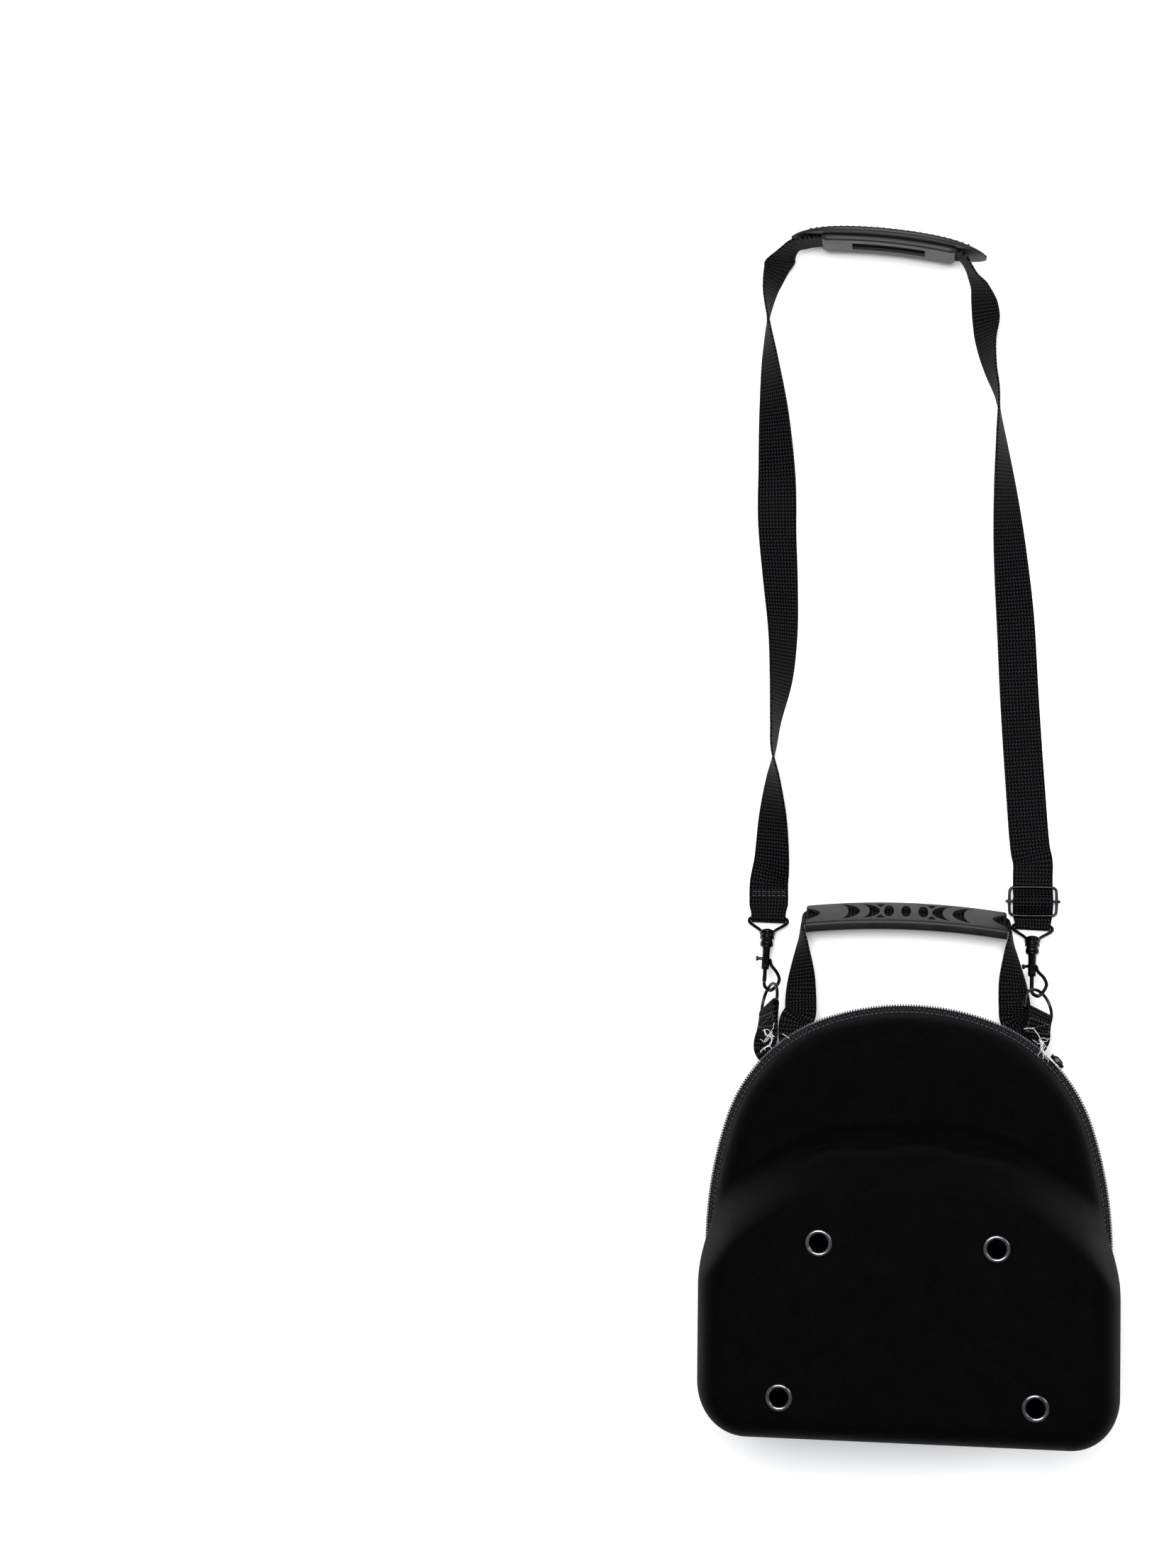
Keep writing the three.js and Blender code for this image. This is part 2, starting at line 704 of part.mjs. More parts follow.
// The slider rides on the chain. Its pull hangs down behind the zip.
function zipSlider() {
  const { length, width, thickness, pullLength, pullWidth, pullThickness } = SLIDER;
  const body = new THREE.BoxGeometry(length, thickness, width);
  const pull = new THREE.BoxGeometry(pullWidth, pullThickness, pullLength);
  pull.translate(0, (thickness - pullThickness) / 2, -pullLength / 2);
  const slider = fuse(body, pull);
  const { point, normal } = rim(SLIDER_FROM_TOP, CHAIN_OUT + GAP + thickness / 2);
  slider.rotateZ(Math.atan2(-normal.x, normal.y));
  return slider.translate(point.x, point.y, CHAIN_HEIGHT);
}

// Webbing

// A frame on a webbing's route: the middle of the webbing, the direction of its width and
// the direction off its face. inside points to the inner side of the route's loop.
function station(place, along, stand, width = 1) {
  const inside = vec(along.y, -along.x, 0).normalize();
  const across = inside.multiplyScalar(Math.cos(radians(stand)));
  across.z = Math.sin(radians(stand));
  across.addScaledVector(along, -across.dot(along)).normalize();
  const off = across.clone().cross(along).normalize();
  return { place, across, off, along, width };
}

// Rows of place and stand become evenly spread stations on a smooth curve through them.
function route(rows, steps) {
  const places = new THREE.CatmullRomCurve3(rows.map((row) => row.place), false, "centripetal");
  const stands = new THREE.CatmullRomCurve3(
    rows.map((row) => vec(row.stand, (row.width ?? 1) * 100, 0)), false, "catmullrom", 0.5,
  );
  const stations = [];
  for (let i = 0; i <= steps; i += 1) {
    const t = i / steps;
    const extra = stands.getPoint(t);
    const along = places.getTangent(t).normalize();
    stations.push(station(places.getPoint(t), along, extra.x, extra.y / 100));
  }
  return stations;
}

function ribbon(stations, width, thickness) {
  return loft(stations.map(({ place, across, off, width: share }) => {
    const side = across.clone().multiplyScalar((width * share) / 2);
    const up = off.clone().multiplyScalar(thickness / 2);
    return [
      place.clone().add(side).add(up), place.clone().sub(side).add(up),
      place.clone().sub(side).sub(up), place.clone().add(side).sub(up),
    ];
  }));
}

// Stations of webbing turned round a bar, from one side of it to the other.
function foldRound(bar, along, across, radius, width, steps = 6) {
  const off = across.clone().cross(along).normalize();
  const stations = [];
  for (let i = 0; i <= steps; i += 1) {
    const angle = Math.PI * (i / steps - 0.5);
    const out = along.clone().multiplyScalar(Math.cos(angle)).addScaledVector(off, Math.sin(angle));
    stations.push({ place: bar.clone().addScaledVector(out, radius), across, off: out, along, width });
  }
  return stations;
}

// The tabs, their rings and the hooks' places

const BARREL_TOP = COLLAR_LENGTH + GAP + SWIVEL_LENGTH;
const BARREL_END = BARREL_TOP + BARREL_LENGTH;
const HOOK_END = BARREL_END + EYE_LENGTH;
const HOOK_SLACK = 1.7;
const RING_TO_HOOK = (RING_WIRE + HOOK_WIRE) / 2 + HOOK_SLACK;
const FLAT_HEIGHT = STRAP_THICKNESS / 2;
const LAYER_STEP = STRAP_THICKNESS + GAP;
const FOLD_RADIUS = BAIL_WIRE / 2 + GAP + STRAP_THICKNESS / 2;
const BAIL_BAR_HEIGHT = FOLD_RADIUS + FLAT_HEIGHT + 0.05;

const ringBar = ({ bar }) => vec(bar.x, CASE_TOP + bar.pastTop, bar.z);

// The route of a tab's middle line, from the seam to the ring's bar.
function tabRoute(side) {
  const root = rim(side.tabFromTop, GAP - SHELL_WALL).point.setZ(TAB_SEAM_HEIGHT);
  const bar = ringBar(side);
  const along = hookDirection(side);
  const outer = rim(side.tabFromTop, CHAIN_REACH + 2).point.setZ(TAB_SEAM_HEIGHT + 0.9);
  const rows = [
    { place: root, stand: 0 },
    { place: rim(side.tabFromTop, 0.5).point.setZ(TAB_SEAM_HEIGHT), stand: 0 },
    { place: outer, stand: side.bar.stand * 0.03 },
    { place: bar.clone().addScaledVector(along, -9).lerp(outer, 0.36), stand: side.bar.stand * 0.4 },
    { place: bar.clone().addScaledVector(along, -4), stand: side.bar.stand * 0.94 },
    { place: bar, stand: side.bar.stand },
  ];
  return rows;
}

// The direction of pull, from the ring's bar along the hook to the strap. The slope brings
// the bail's bar down to where the folded strap lies on the floor.
function hookDirection(side) {
  const heading = radians(side.heading);
  const reachToBail = RING_REACH + HOOK_END + BAIL_HEIGHT - RING_TO_HOOK;
  const lift = EYE_BOTTOM * Math.sin(radians(side.roll));
  const slope = Math.asin((side.bar.z - BAIL_BAR_HEIGHT) / Math.hypot(reachToBail, lift))
    + Math.atan2(lift, reachToBail);
  return vec(Math.sin(heading) * Math.cos(slope), Math.cos(heading) * Math.cos(slope), -Math.sin(slope));
}

function tab(side) {
  const middle = route(tabRoute(side), 13);
  const bar = middle.pop();
  bar.along = hookDirection(side);
  const end = station(bar.place, bar.along, side.bar.stand);
  const radius = RING_WIRE / 2 + GAP + TAB_THICKNESS / 2;
  const near = (TAB_THICKNESS + GAP) / 2;
  const layer = (direction) => middle.map((stop, i) => {
    const spread = direction * mix(near, radius, smooth((i / (middle.length - 1) - 0.6) / 0.4));
    const off = stop.off.clone().multiplyScalar(direction);
    return { ...stop, off, place: stop.place.clone().addScaledVector(stop.off, spread) };
  });
  const fold = foldRound(end.place, end.along, end.across, radius, 1);
  return ribbon([...layer(-1), ...fold, ...layer(1).reverse()], TAB_WIDTH, TAB_THICKNESS);
}

// A ring with a straight bar in the tab and a bow that the hook holds.
function tabRing(side) {
  const along = hookDirection(side);
  const { place, across } = station(ringBar(side), along, side.bar.stand);
  const half = TAB_WIDTH / 2 + GAP + RING_WIRE / 2 + 0.2;
  const outline = [[-half * 0.84, 0], [0, 0], [half * 0.84, 0], [half * 0.97, 0.8]];
  const bow = 8;
  for (let i = 0; i <= bow; i += 1) {
    const angle = (Math.PI * i) / bow;
    outline.push([half * Math.cos(angle), RING_SIDE + (RING_REACH - RING_SIDE) * Math.sin(angle)]);
  }
  outline.push([-half * 0.97, 0.8]);
  const points = outline.map(([u, v]) => place.clone().addScaledVector(across, u).addScaledVector(along, v));
  return wire(points, RING_WIRE, true);
}

// The group that holds one hook, with its axis pointing down local Y from the collar's top.
function hookGroup(side) {
  const along = hookDirection(side);
  const bar = ringBar(side);
  const ringBow = bar.addScaledVector(along, RING_REACH);
  const origin = ringBow.addScaledVector(along, HOOK_END - RING_TO_HOOK);
  const group = new THREE.Group();
  const across = vec(Math.cos(radians(side.heading)), -Math.sin(radians(side.heading)), 0);
  const up = across.clone().cross(along);
  const roll = radians(side.roll);
  group.quaternion.setFromRotationMatrix(new THREE.Matrix4().makeBasis(across, along, up));
  group.position.copy(origin)
    .addScaledVector(across, -EYE_BOTTOM * Math.cos(roll))
    .addScaledVector(up, EYE_BOTTOM * Math.sin(roll));
  group.updateMatrixWorld(true);
  return group;
}

// The bar of the strap's bail in the world.
function bailBar(side) {
  return hookGroup(side).localToWorld(vec(0, BAIL_HEIGHT, 0));
}

// The strap's fold round the bar of its bail.
function bailFold(side) {
  const heading = radians(side.heading);
  const pull = vec(-Math.sin(heading), -Math.cos(heading), 0);
  const across = vec(-Math.cos(heading), Math.sin(heading), 0);
  return foldRound(bailBar(side), pull, across, FOLD_RADIUS, BAIL_SQUEEZE).reverse();
}

// A wire loop for the strap, soldered to the ridged collar that the hook turns in.
function bail() {
  const half = (STRAP_WIDTH * BAIL_SQUEEZE) / 2 + GAP + BAIL_WIRE / 2;
  const low = COLLAR_RADIUS - 1;
  const points = [
    vec(-low, -0.4, 0), vec(-low - 0.8, 1.2, 0), vec(-half * 0.98, BAIL_HEIGHT - 3, 0),
    vec(-half, BAIL_HEIGHT - 1.2, 0), vec(-half * 0.93, BAIL_HEIGHT, 0), vec(0, BAIL_HEIGHT, 0),
    vec(half * 0.93, BAIL_HEIGHT, 0), vec(half, BAIL_HEIGHT - 1.2, 0),
    vec(half * 0.98, BAIL_HEIGHT - 3, 0), vec(low + 0.8, 1.2, 0), vec(low, -0.4, 0),
  ];
  const bore = STEM_RADIUS + GAP;
  const ridge = COLLAR_RADIUS;
  const collar = turned([
    [bore, 0], [ridge, 0], [ridge, 1.6], [ridge - 1, 2], [ridge - 1, 2.6], [ridge - 0.3, 3],
    [ridge - 0.3, 4.6], [ridge - 1.2, 5], [ridge - 1.2, COLLAR_LENGTH], [bore, COLLAR_LENGTH],
  ], 12, true);
  return fuse(collar, wire(points, BAIL_WIRE));
}

// The hook turns on a stem in the collar. The barrel holds the bolt, and has a slot for its knob.
function hook() {
  const head = STEM_RADIUS + 1.1;
  const stem = turned([
    [0, -1.5], [head, -1.5], [head, -GAP], [STEM_RADIUS, -GAP], [STEM_RADIUS, COLLAR_LENGTH + GAP],
    [SWIVEL_RADIUS, COLLAR_LENGTH + GAP], [SWIVEL_RADIUS, BARREL_TOP - 1.6],
    [BARREL_RADIUS, BARREL_TOP], [BARREL_RADIUS, BARREL_END], [0, BARREL_END],
  ], 12);
  const boreRadius = BOLT_RADIUS + GAP;
  const bore = turned([
    [0, BARREL_TOP + 0.6], [boreRadius, BARREL_TOP + 0.6], [boreRadius, BARREL_END + 1], [0, BARREL_END + 1],
  ], 12);
  const knob = knobDown();
  const slotTop = knob - BOLT_TRAVEL - KNOB_RADIUS - GAP;
  const slotEnd = knob + KNOB_RADIUS + GAP;
  const slot = new THREE.BoxGeometry(BARREL_RADIUS * 2, slotEnd - slotTop, 2 * (KNOB_RADIUS + GAP));
  slot.translate(-BARREL_RADIUS - 0.6, -(slotTop + slotEnd) / 2, 0);
  const eye = new THREE.CatmullRomCurve3(eyeRows().map(([x, down]) => vec(x, -down, 0)));
  return fuse(cut(stem, bore, slot), wire(eye.getSpacedPoints(14), HOOK_WIRE, false, 8));
}

// The hook's wire leaves the side of the barrel, bows out and comes back under the bolt's tip.
function eyeRows() {
  const side = BARREL_RADIUS + 0.3;
  return [
    [side, BARREL_END - 6], [side + 1, BARREL_END - 2.5], [EYE_BELLY - 1.6, BARREL_END + 3],
    [EYE_BELLY, BARREL_END + 8], [EYE_BELLY - 1.8, HOOK_END - 3], [EYE_BOTTOM, HOOK_END],
    [0.8, HOOK_END - 2.2], [0, HOOK_END - 4.6],
  ];
}

const BOLT_END = HOOK_END - 4.6 - HOOK_WIRE / 2 - GAP;
const BOLT_TOP = BOLT_END - BOLT_LENGTH;
const knobDown = () => BOLT_TOP + KNOB_FROM_BOLT_TOP;

function bolt() {
  const rod = turned([
    [0, BOLT_TOP], [BOLT_RADIUS, BOLT_TOP], [BOLT_RADIUS, BOLT_END], [0, BOLT_END],
  ], 10);
  const knob = new THREE.CylinderGeometry(KNOB_RADIUS, KNOB_RADIUS, KNOB_REACH - 1.2, 10);
  knob.rotateZ(Math.PI / 2).translate(-(KNOB_REACH - 1.2) / 2, -knobDown(), 0);
  const button = new THREE.CylinderGeometry(KNOB_RADIUS + 0.6, KNOB_RADIUS + 0.6, 1.4, 10);
  button.rotateZ(Math.PI / 2).translate(-KNOB_REACH + 0.7, -knobDown(), 0);
  return fuse(rod, knob, button);
}

// The strap and its adjuster

function adjusterPlace() {
  const bar = bailBar(HOOK_SIDES[1]);
  return vec(bar.x, bar.y + ADJUSTER_TO_BAIL, ADJUSTER_HEIGHT);
}

function adjuster() {
  const halfWidth = (ADJUSTER_WIDTH - FRAME_WIRE) / 2;
  const halfLength = (ADJUSTER_LENGTH - FRAME_WIRE) / 2;
  const corner = 2.6;
  const points = [];
  for (let quarter = 0; quarter < 4; quarter += 1) {
    for (let i = 0; i <= 2; i += 1) {
      const angle = (Math.PI / 2) * (quarter + i / 2);
      const signX = quarter === 0 || quarter === 3 ? 1 : -1;
      const signY = quarter < 2 ? 1 : -1;
      points.push(vec(
        signX * (halfWidth - corner) + corner * Math.cos(angle),
        signY * (halfLength - corner) + corner * Math.sin(angle),
        0,
      ));
    }
  }
  const reachOut = ADJUSTER_WIDTH / 2 + 0.9;
  const bar = wire([vec(-reachOut, 0, 0), vec(0, 0, 0), vec(reachOut, 0, 0)], FRAME_WIRE);
  const place = adjusterPlace();
  return fuse(wire(points, FRAME_WIRE, true), bar).translate(place.x, place.y, place.z);
}

// The height of webbing that stands on its lower edge.
const restingHeight = (stand) => (STRAP_WIDTH / 2) * Math.abs(Math.sin(radians(stand)))
  + FLAT_HEIGHT * Math.abs(Math.cos(radians(stand))) + 0.02;

// lift is the height above the floor, as a share of the strap's width.
function strapRow({ x, y, stand, lift = 0 }, start) {
  const height = restingHeight(stand) + lift * STRAP_WIDTH;
  return { place: vec(x * LOOP_HALF_WIDTH, start + y * LOOP_LENGTH, height), stand };
}

// A flat stretch of strap in line with Y, at a distance and height from a bar.
function layer(centre, dy, z, facing, width = 1) {
  return {
    place: vec(centre.x, centre.y + dy, z), across: vec(-1, 0, 0), off: vec(0, 0, facing), width,
  };
}

// The left end turns up round its bail and is sewn down on top of itself.
function leftStrapEnd(side) {
  const bar = bailBar(side);
  const rest = FLAT_HEIGHT + LAYER_STEP + 0.04;
  const top = bar.z + FOLD_RADIUS;
  return [
    layer(bar, 20, rest, 1), layer(bar, 9, rest, 1),
    layer(bar, 4.5, mix(rest, top, 0.6), 1, mix(1, BAIL_SQUEEZE, 0.8)),
    ...bailFold(side),
  ];
}

// The right end passes under and over the adjuster, turns back round its bail and is sewn
// round the adjuster's middle bar.
function rightStrapEnd(side) {
  const frame = adjusterPlace();
  const end = (ADJUSTER_LENGTH - FRAME_WIRE) / 2;
  const under = frame.z - FRAME_WIRE / 2 - 2 * GAP - FLAT_HEIGHT;
  const wrap = FRAME_WIRE / 2 + GAP + FLAT_HEIGHT;
  const over = frame.z + wrap + LAYER_STEP;
  const hidden = under - LAYER_STEP;
  return [
    layer(frame, end + 6, FLAT_HEIGHT + 0.2, 1), layer(frame, end + 2, under - 0.5, 1),
    layer(frame, end, under, 1), layer(frame, end - 1.6, under + 0.7, 1),
    layer(frame, end - 4, over - 2.2, 1), layer(frame, 3, over - 0.6, 1),
    layer(frame, 0, over, 1), layer(frame, -3, over - 0.6, 1),
    layer(frame, 4 - end, over - 2.2, 1), layer(frame, 1.6 - end, under + 0.7, 1),
    layer(frame, -end, under, 1), layer(frame, -end - 2, under + 0.3, 1, 0.96),
    ...bailFold(side),
    layer(frame, -end - 2, hidden, -1, 0.96), layer(frame, -end + 1, hidden, -1),
    layer(frame, -4, mix(hidden, frame.z - wrap, 0.6), -1),
    ...foldRound(frame, vec(0, 1, 0), vec(-1, 0, 0), wrap, 1).reverse(),
  ];
}

// Keeps webbing from sinking into the floor between two rows of its route.
function laidOnFloor(stop) {
  const lowest = Math.abs(stop.across.z) * (STRAP_WIDTH / 2) + Math.abs(stop.off.z) * FLAT_HEIGHT;
  stop.place.z = Math.max(stop.place.z, lowest + 0.02);
  return stop;
}

function strap() {
  const left = bailBar(HOOK_SIDES[0]);
  const rightEnd = rightStrapEnd(HOOK_SIDES[1]);
  const flatRow = (bar, dy) => ({ place: vec(bar.x, bar.y + dy, FLAT_HEIGHT + 0.02) });
  const rows = [
    { ...flatRow(left, 4), stand: -180, width: BAIL_SQUEEZE },
    { ...flatRow(left, 12), stand: -180 },
    { ...flatRow(left, 22), stand: -176 },
    ...LEFT_STRAP_ROWS.map((row) => strapRow(row, left.y)),
    ...padRows(),
    ...RIGHT_STRAP_ROWS.map((row) => strapRow(row, left.y)),
    { ...flatRow(rightEnd[0].place, 10), stand: 0 },
    { place: rightEnd[0].place, stand: 0 },
  ];
  const free = route(rows, 66).map(laidOnFloor);
  free.pop();
  return ribbon([...leftStrapEnd(HOOK_SIDES[0]), ...free, ...rightEnd], STRAP_WIDTH, STRAP_THICKNESS);
}

// The grip and the pad are both arched sleeves round the webbing

// A frame that follows a shallow arch. across is the direction of the width.
function archFrame(place, arch, length, height, lean) {
  const along = vec(Math.cos(radians(place.turn)), Math.sin(radians(place.turn)), 0);
  const out = vec(-along.y, along.x, 0);
  const across = out.clone().multiplyScalar(-Math.cos(radians(lean)));
  across.z = Math.sin(radians(lean));
  const off = across.clone().cross(along).normalize();
  return (share, u, v) => {
    const bow = arch * (1 - share * share);
    return vec(place.x, CASE_TOP + place.pastTop, height)
      .addScaledVector(along, (share * length) / 2)
      .addScaledVector(off, bow + v)
      .addScaledVector(across, u);
  };
}

// The grip rests on its lower edge.
function gripFrame() {
  const rise = Math.sin(radians(GRIP_LEAN)) * (GRIP_WIDTH / 2);
  const thick = Math.cos(radians(GRIP_LEAN)) * (GRIP_THICKNESS / 2);
  return archFrame(GRIP_PLACE, GRIP_ARCH, GRIP_LENGTH, rise + thick + 0.2, GRIP_LEAN);
}

const padFrame = () => archFrame(PAD_PLACE, PAD_ARCH, PAD_LENGTH, PAD_WIDTH / 2 + 0.1, 90);

// A body of one section carried along an arch, with the section given for each share.
function archBody(frame, shares, section) {
  return loft(shares.map((share) => section(share).map(([u, v]) => frame(share, u, v))));
}

const ARCH_SHARES = [-1, -0.8, -0.6, -0.4, -0.2, 0, 0.2, 0.4, 0.6, 0.8, 1];
const rectangle = (halfWidth, low, high) => [
  [halfWidth, high], [-halfWidth, high], [-halfWidth, low], [halfWidth, low],
];

function chamfered(halfWidth, low, high, chamfer) {
  return [
    [halfWidth - chamfer, high], [-halfWidth + chamfer, high], [-halfWidth, high - chamfer],
    [-halfWidth, low + chamfer], [-halfWidth + chamfer, low], [halfWidth - chamfer, low],
    [halfWidth, low + chamfer], [halfWidth, high - chamfer],
  ];
}

// A prism cut through the face of the grip, from points along and across it.
function faceCutter(frame, points) {
  const depths = [HANDLE_THICKNESS / 2, GRIP_THICKNESS];
  return loft(depths.map((depth) => points.map(([share, u]) => frame(share, u, depth))));
}

function cutOutline({ at, belly, back, tall }, side) {
  const half = (tall * GRIP_WIDTH) / 2;
  const points = [];
  const steps = 5;
  for (let i = 0; i <= steps; i += 1) {
    const angle = Math.PI * (i / steps - 0.5);
    points.push([side * (at + belly * Math.cos(angle)), half * Math.sin(angle)]);
  }
  for (let i = steps - 1; i > 0; i -= 1) {
    const angle = Math.PI * (i / steps - 0.5);
    points.push([side * (at + back * Math.cos(angle)), half * Math.sin(angle)]);
  }
  return points;
}

function grip() {
  const frame = gripFrame();
  const half = GRIP_THICKNESS / 2;
  const body = archBody(frame, ARCH_SHARES, () => chamfered(GRIP_WIDTH / 2, -half, half, 1.6));
  const slotShares = [-1.04, -0.88, ...ARCH_SHARES.slice(1, -1), 0.88, 1.04];
  const slot = archBody(frame, slotShares, (share) => {
    const mouth = Math.max(Math.abs(share) - 0.88, 0) * GRIP_MOUTH_FLARE;
    const slotHalf = HANDLE_THICKNESS / 2 + GAP + mouth;
    return rectangle(HANDLE_WIDTH / 2 + GAP + mouth, -slotHalf, slotHalf);
  });
  const notch = GRIP_NOTCH / (GRIP_LENGTH / 2);
  const notches = [-1, 1].map((side) => faceCutter(frame, [
    [side * 1.05, -GRIP_WIDTH * 0.3], [side * (1 - notch * 0.75), -GRIP_WIDTH * 0.2],
    [side * (1 - notch), 0], [side * (1 - notch * 0.75), GRIP_WIDTH * 0.2],
    [side * 1.05, GRIP_WIDTH * 0.3],
  ]));
  const cuts = GRIP_CUTS.flatMap((shape) => [-1, 1].map((side) => faceCutter(frame, cutOutline(shape, side))));
  cuts.push(faceCutter(frame, cutOutline({ ...GRIP_CUTS[2], at: 0 }, 1)));
  return cut(body, slot, ...notches, ...cuts);
}

function handleWebbing() {
  const frame = gripFrame();
  const inGrip = [-0.99, -0.9, -0.6, -0.3, 0, 0.3, 0.6, 0.9, 0.99].map((share) => ({
    place: frame(share, 0, 0), stand: GRIP_LEAN,
  }));
  const leg = (side) => {
    const root = rim(side * HANDLE_FROM_TOP, GAP - SHELL_WALL).point.setZ(HANDLE_SEAM_HEIGHT);
    const seam = rim(side * HANDLE_FROM_TOP, 1).point.setZ(HANDLE_SEAM_HEIGHT);
    const out = seam.clone().add(vec(0, 10, -1.8));
    const corner = frame(side * 1.03, 0, 0);
    corner.y -= 3;
    const rows = HANDLE_ROWS.map(({ along, side: aside, height, stand }) => ({
      place: vec(
        mix(root.x, corner.x, along + (1 - along) * aside),
        mix(root.y, corner.y, along),
        mix(corner.z, HANDLE_SEAM_HEIGHT, height),
      ),
      stand,
    }));
    return [
      { place: root, stand: 0 }, { place: seam, stand: 0 }, { place: out, stand: 0 }, ...rows,
      { place: corner, stand: 86 },
    ];
  };
  const rows = [...leg(-1), ...inGrip, ...leg(1).reverse()];
  return ribbon(route(rows, 52), HANDLE_WIDTH, HANDLE_THICKNESS);
}

// Places of the strap in the pad's sleeve.
function padRows() {
  const frame = padFrame();
  return PAD_STRAP_ROWS.map(({ share, clear, sink, stand }) => ({
    place: frame(share, -sink * STRAP_WIDTH, -SLEEVE_OFFSET - clear * STRAP_THICKNESS), stand,
  }));
}

const SLEEVE_OFFSET = PAD_THICKNESS / 2 + GAP + STRAP_THICKNESS / 2;

// The pad is a plate with rounded ends and a sleeve for the strap on its inner side. A window
// in the sleeve shows the strap.
function shoulderPad() {
  const frame = padFrame();
  const half = PAD_THICKNESS / 2;
  const shares = [-1, -0.96, -0.88, -0.74, -0.5, -0.25, 0, 0.25, 0.5, 0.74, 0.88, 0.96, 1];
  const plate = archBody(frame, shares, (share) => {
    const width = (PAD_WIDTH / 2) * Math.sqrt(Math.max(1 - Math.abs(share) ** 3.4, 0.04));
    return chamfered(width, -half, half, 0.8);
  });
  const run = SLEEVE_LENGTH / PAD_LENGTH;
  const inner = STRAP_THICKNESS + 2 * GAP;
  const sleeveShares = [-run, -run * 0.5, 0, run * 0.5, run];
  const outerHalf = STRAP_WIDTH / 2 + GAP + SLEEVE_WALL;
  const bottom = half + inner + SLEEVE_WALL;
  const sleeve = archBody(frame, sleeveShares, () => rectangle(outerHalf, -bottom, 0.5 - half));
  const slotShares = [-run * 1.04, -run * 0.5, 0, run * 0.5, run * 1.04];
  const slot = archBody(frame, slotShares, () => rectangle(STRAP_WIDTH / 2 + GAP, -half - inner, -half));
  const window = SLEEVE_WINDOW / PAD_LENGTH;
  const opening = archBody(frame, [-window, 0, window], () => rectangle(STRAP_WIDTH * 0.3, -bottom - 1, 0.4 - half - inner));
  return cut(fuse(plate, sleeve), slot, opening);
}

// Finishes

const FINISHES = {
  shell: { color: 0x0c0c0d, roughness: 0.86, metalness: 0 },
  tape: { color: 0x101011, roughness: 0.8, metalness: 0 },
  webbing: { color: 0x111112, roughness: 0.75, metalness: 0 },
  metal: { color: 0x1b1b1d, roughness: 0.28, metalness: 1 },
  rubber: { color: 0x2a2a2b, roughness: 0.55, metalness: 0 },
};

const bag = new THREE.Group();

function add(name, geometry, finish, parent = bag) {
  const mesh = new THREE.Mesh(geometry, new THREE.MeshStandardMaterial(FINISHES[finish]));
  mesh.name = name;
  parent.add(mesh);
  return mesh;
}

add("front_shell", frontShell(), "shell");
add("back_shell", backShell(), "shell");
for (const { name, x, y } of eyeletPlaces()) {
  add(name, eyelet(), "metal").position.set(x, y, FRONT_FACE_HEIGHT);
}
add("zip_front_tape", zipTape(1, FRONT_RIM_HEIGHT), "tape");
add("zip_back_tape", zipTape(-1, BACK_RIM_HEIGHT), "tape");
add("zip_chain", zipChain(), "metal");
add("zip_slider", zipSlider(), "metal");
add("bottom_hinge", bottomHinge(), "tape");
add("handle_webbing", handleWebbing(), "webbing");
add("handle_grip", grip(), "rubber");
add("strap_webbing", strap(), "webbing");
add("strap_adjuster", adjuster(), "metal");
add("shoulder_pad", shoulderPad(), "rubber");
for (const side of HOOK_SIDES) {
  add(`${side.name}_tab`, tab(side), "webbing");
  add(`${side.name}_tab_ring`, tabRing(side), "metal");
  const group = hookGroup(side);
  bag.add(group);
  add(`${side.name}_strap_bail`, bail(), "metal", group);
  const swivel = new THREE.Group();
  swivel.rotation.y = radians(side.roll);
  group.add(swivel);
  add(`${side.name}_hook`, hook(), "metal", swivel);
  add(`${side.name}_hook_bolt`, bolt(), "metal", swivel);
}

export default bag;
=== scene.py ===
"""A moulded carrying case for hats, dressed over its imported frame: cloth-covered shells, zip,
webbing, moulded grip and pad, and black-nickel clips."""

import bmesh
import bpy
import numpy as np
from mathutils import Matrix, Vector


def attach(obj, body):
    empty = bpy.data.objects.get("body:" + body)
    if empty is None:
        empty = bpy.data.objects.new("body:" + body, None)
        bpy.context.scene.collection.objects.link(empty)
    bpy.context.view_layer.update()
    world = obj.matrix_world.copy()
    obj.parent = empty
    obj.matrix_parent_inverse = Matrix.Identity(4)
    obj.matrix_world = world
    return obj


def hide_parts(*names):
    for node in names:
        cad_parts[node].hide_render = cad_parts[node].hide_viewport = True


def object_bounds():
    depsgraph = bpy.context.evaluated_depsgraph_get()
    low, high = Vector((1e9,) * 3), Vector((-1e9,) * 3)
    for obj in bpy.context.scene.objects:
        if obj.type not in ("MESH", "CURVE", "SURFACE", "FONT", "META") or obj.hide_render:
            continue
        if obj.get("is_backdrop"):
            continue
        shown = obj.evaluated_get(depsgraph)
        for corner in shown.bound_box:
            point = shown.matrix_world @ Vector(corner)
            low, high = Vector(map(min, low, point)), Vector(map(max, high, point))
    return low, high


bl_info = {
    "name": "Hat bag",
    "version": (1, 0, 0),
    "blender": (4, 5, 0),
    "location": "View3D > Sidebar > Hat bag",
    "description": "Dresses a moulded hat bag with cloth, zip, webbing and clips",
    "category": "Object",
}

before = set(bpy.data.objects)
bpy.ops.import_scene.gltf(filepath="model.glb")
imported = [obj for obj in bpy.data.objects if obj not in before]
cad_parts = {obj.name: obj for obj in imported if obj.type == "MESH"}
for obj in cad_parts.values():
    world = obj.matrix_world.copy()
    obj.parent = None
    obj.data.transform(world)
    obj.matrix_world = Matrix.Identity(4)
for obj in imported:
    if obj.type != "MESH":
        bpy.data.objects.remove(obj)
CAD_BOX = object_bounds()
BODY = "bag"
MM = 0.001

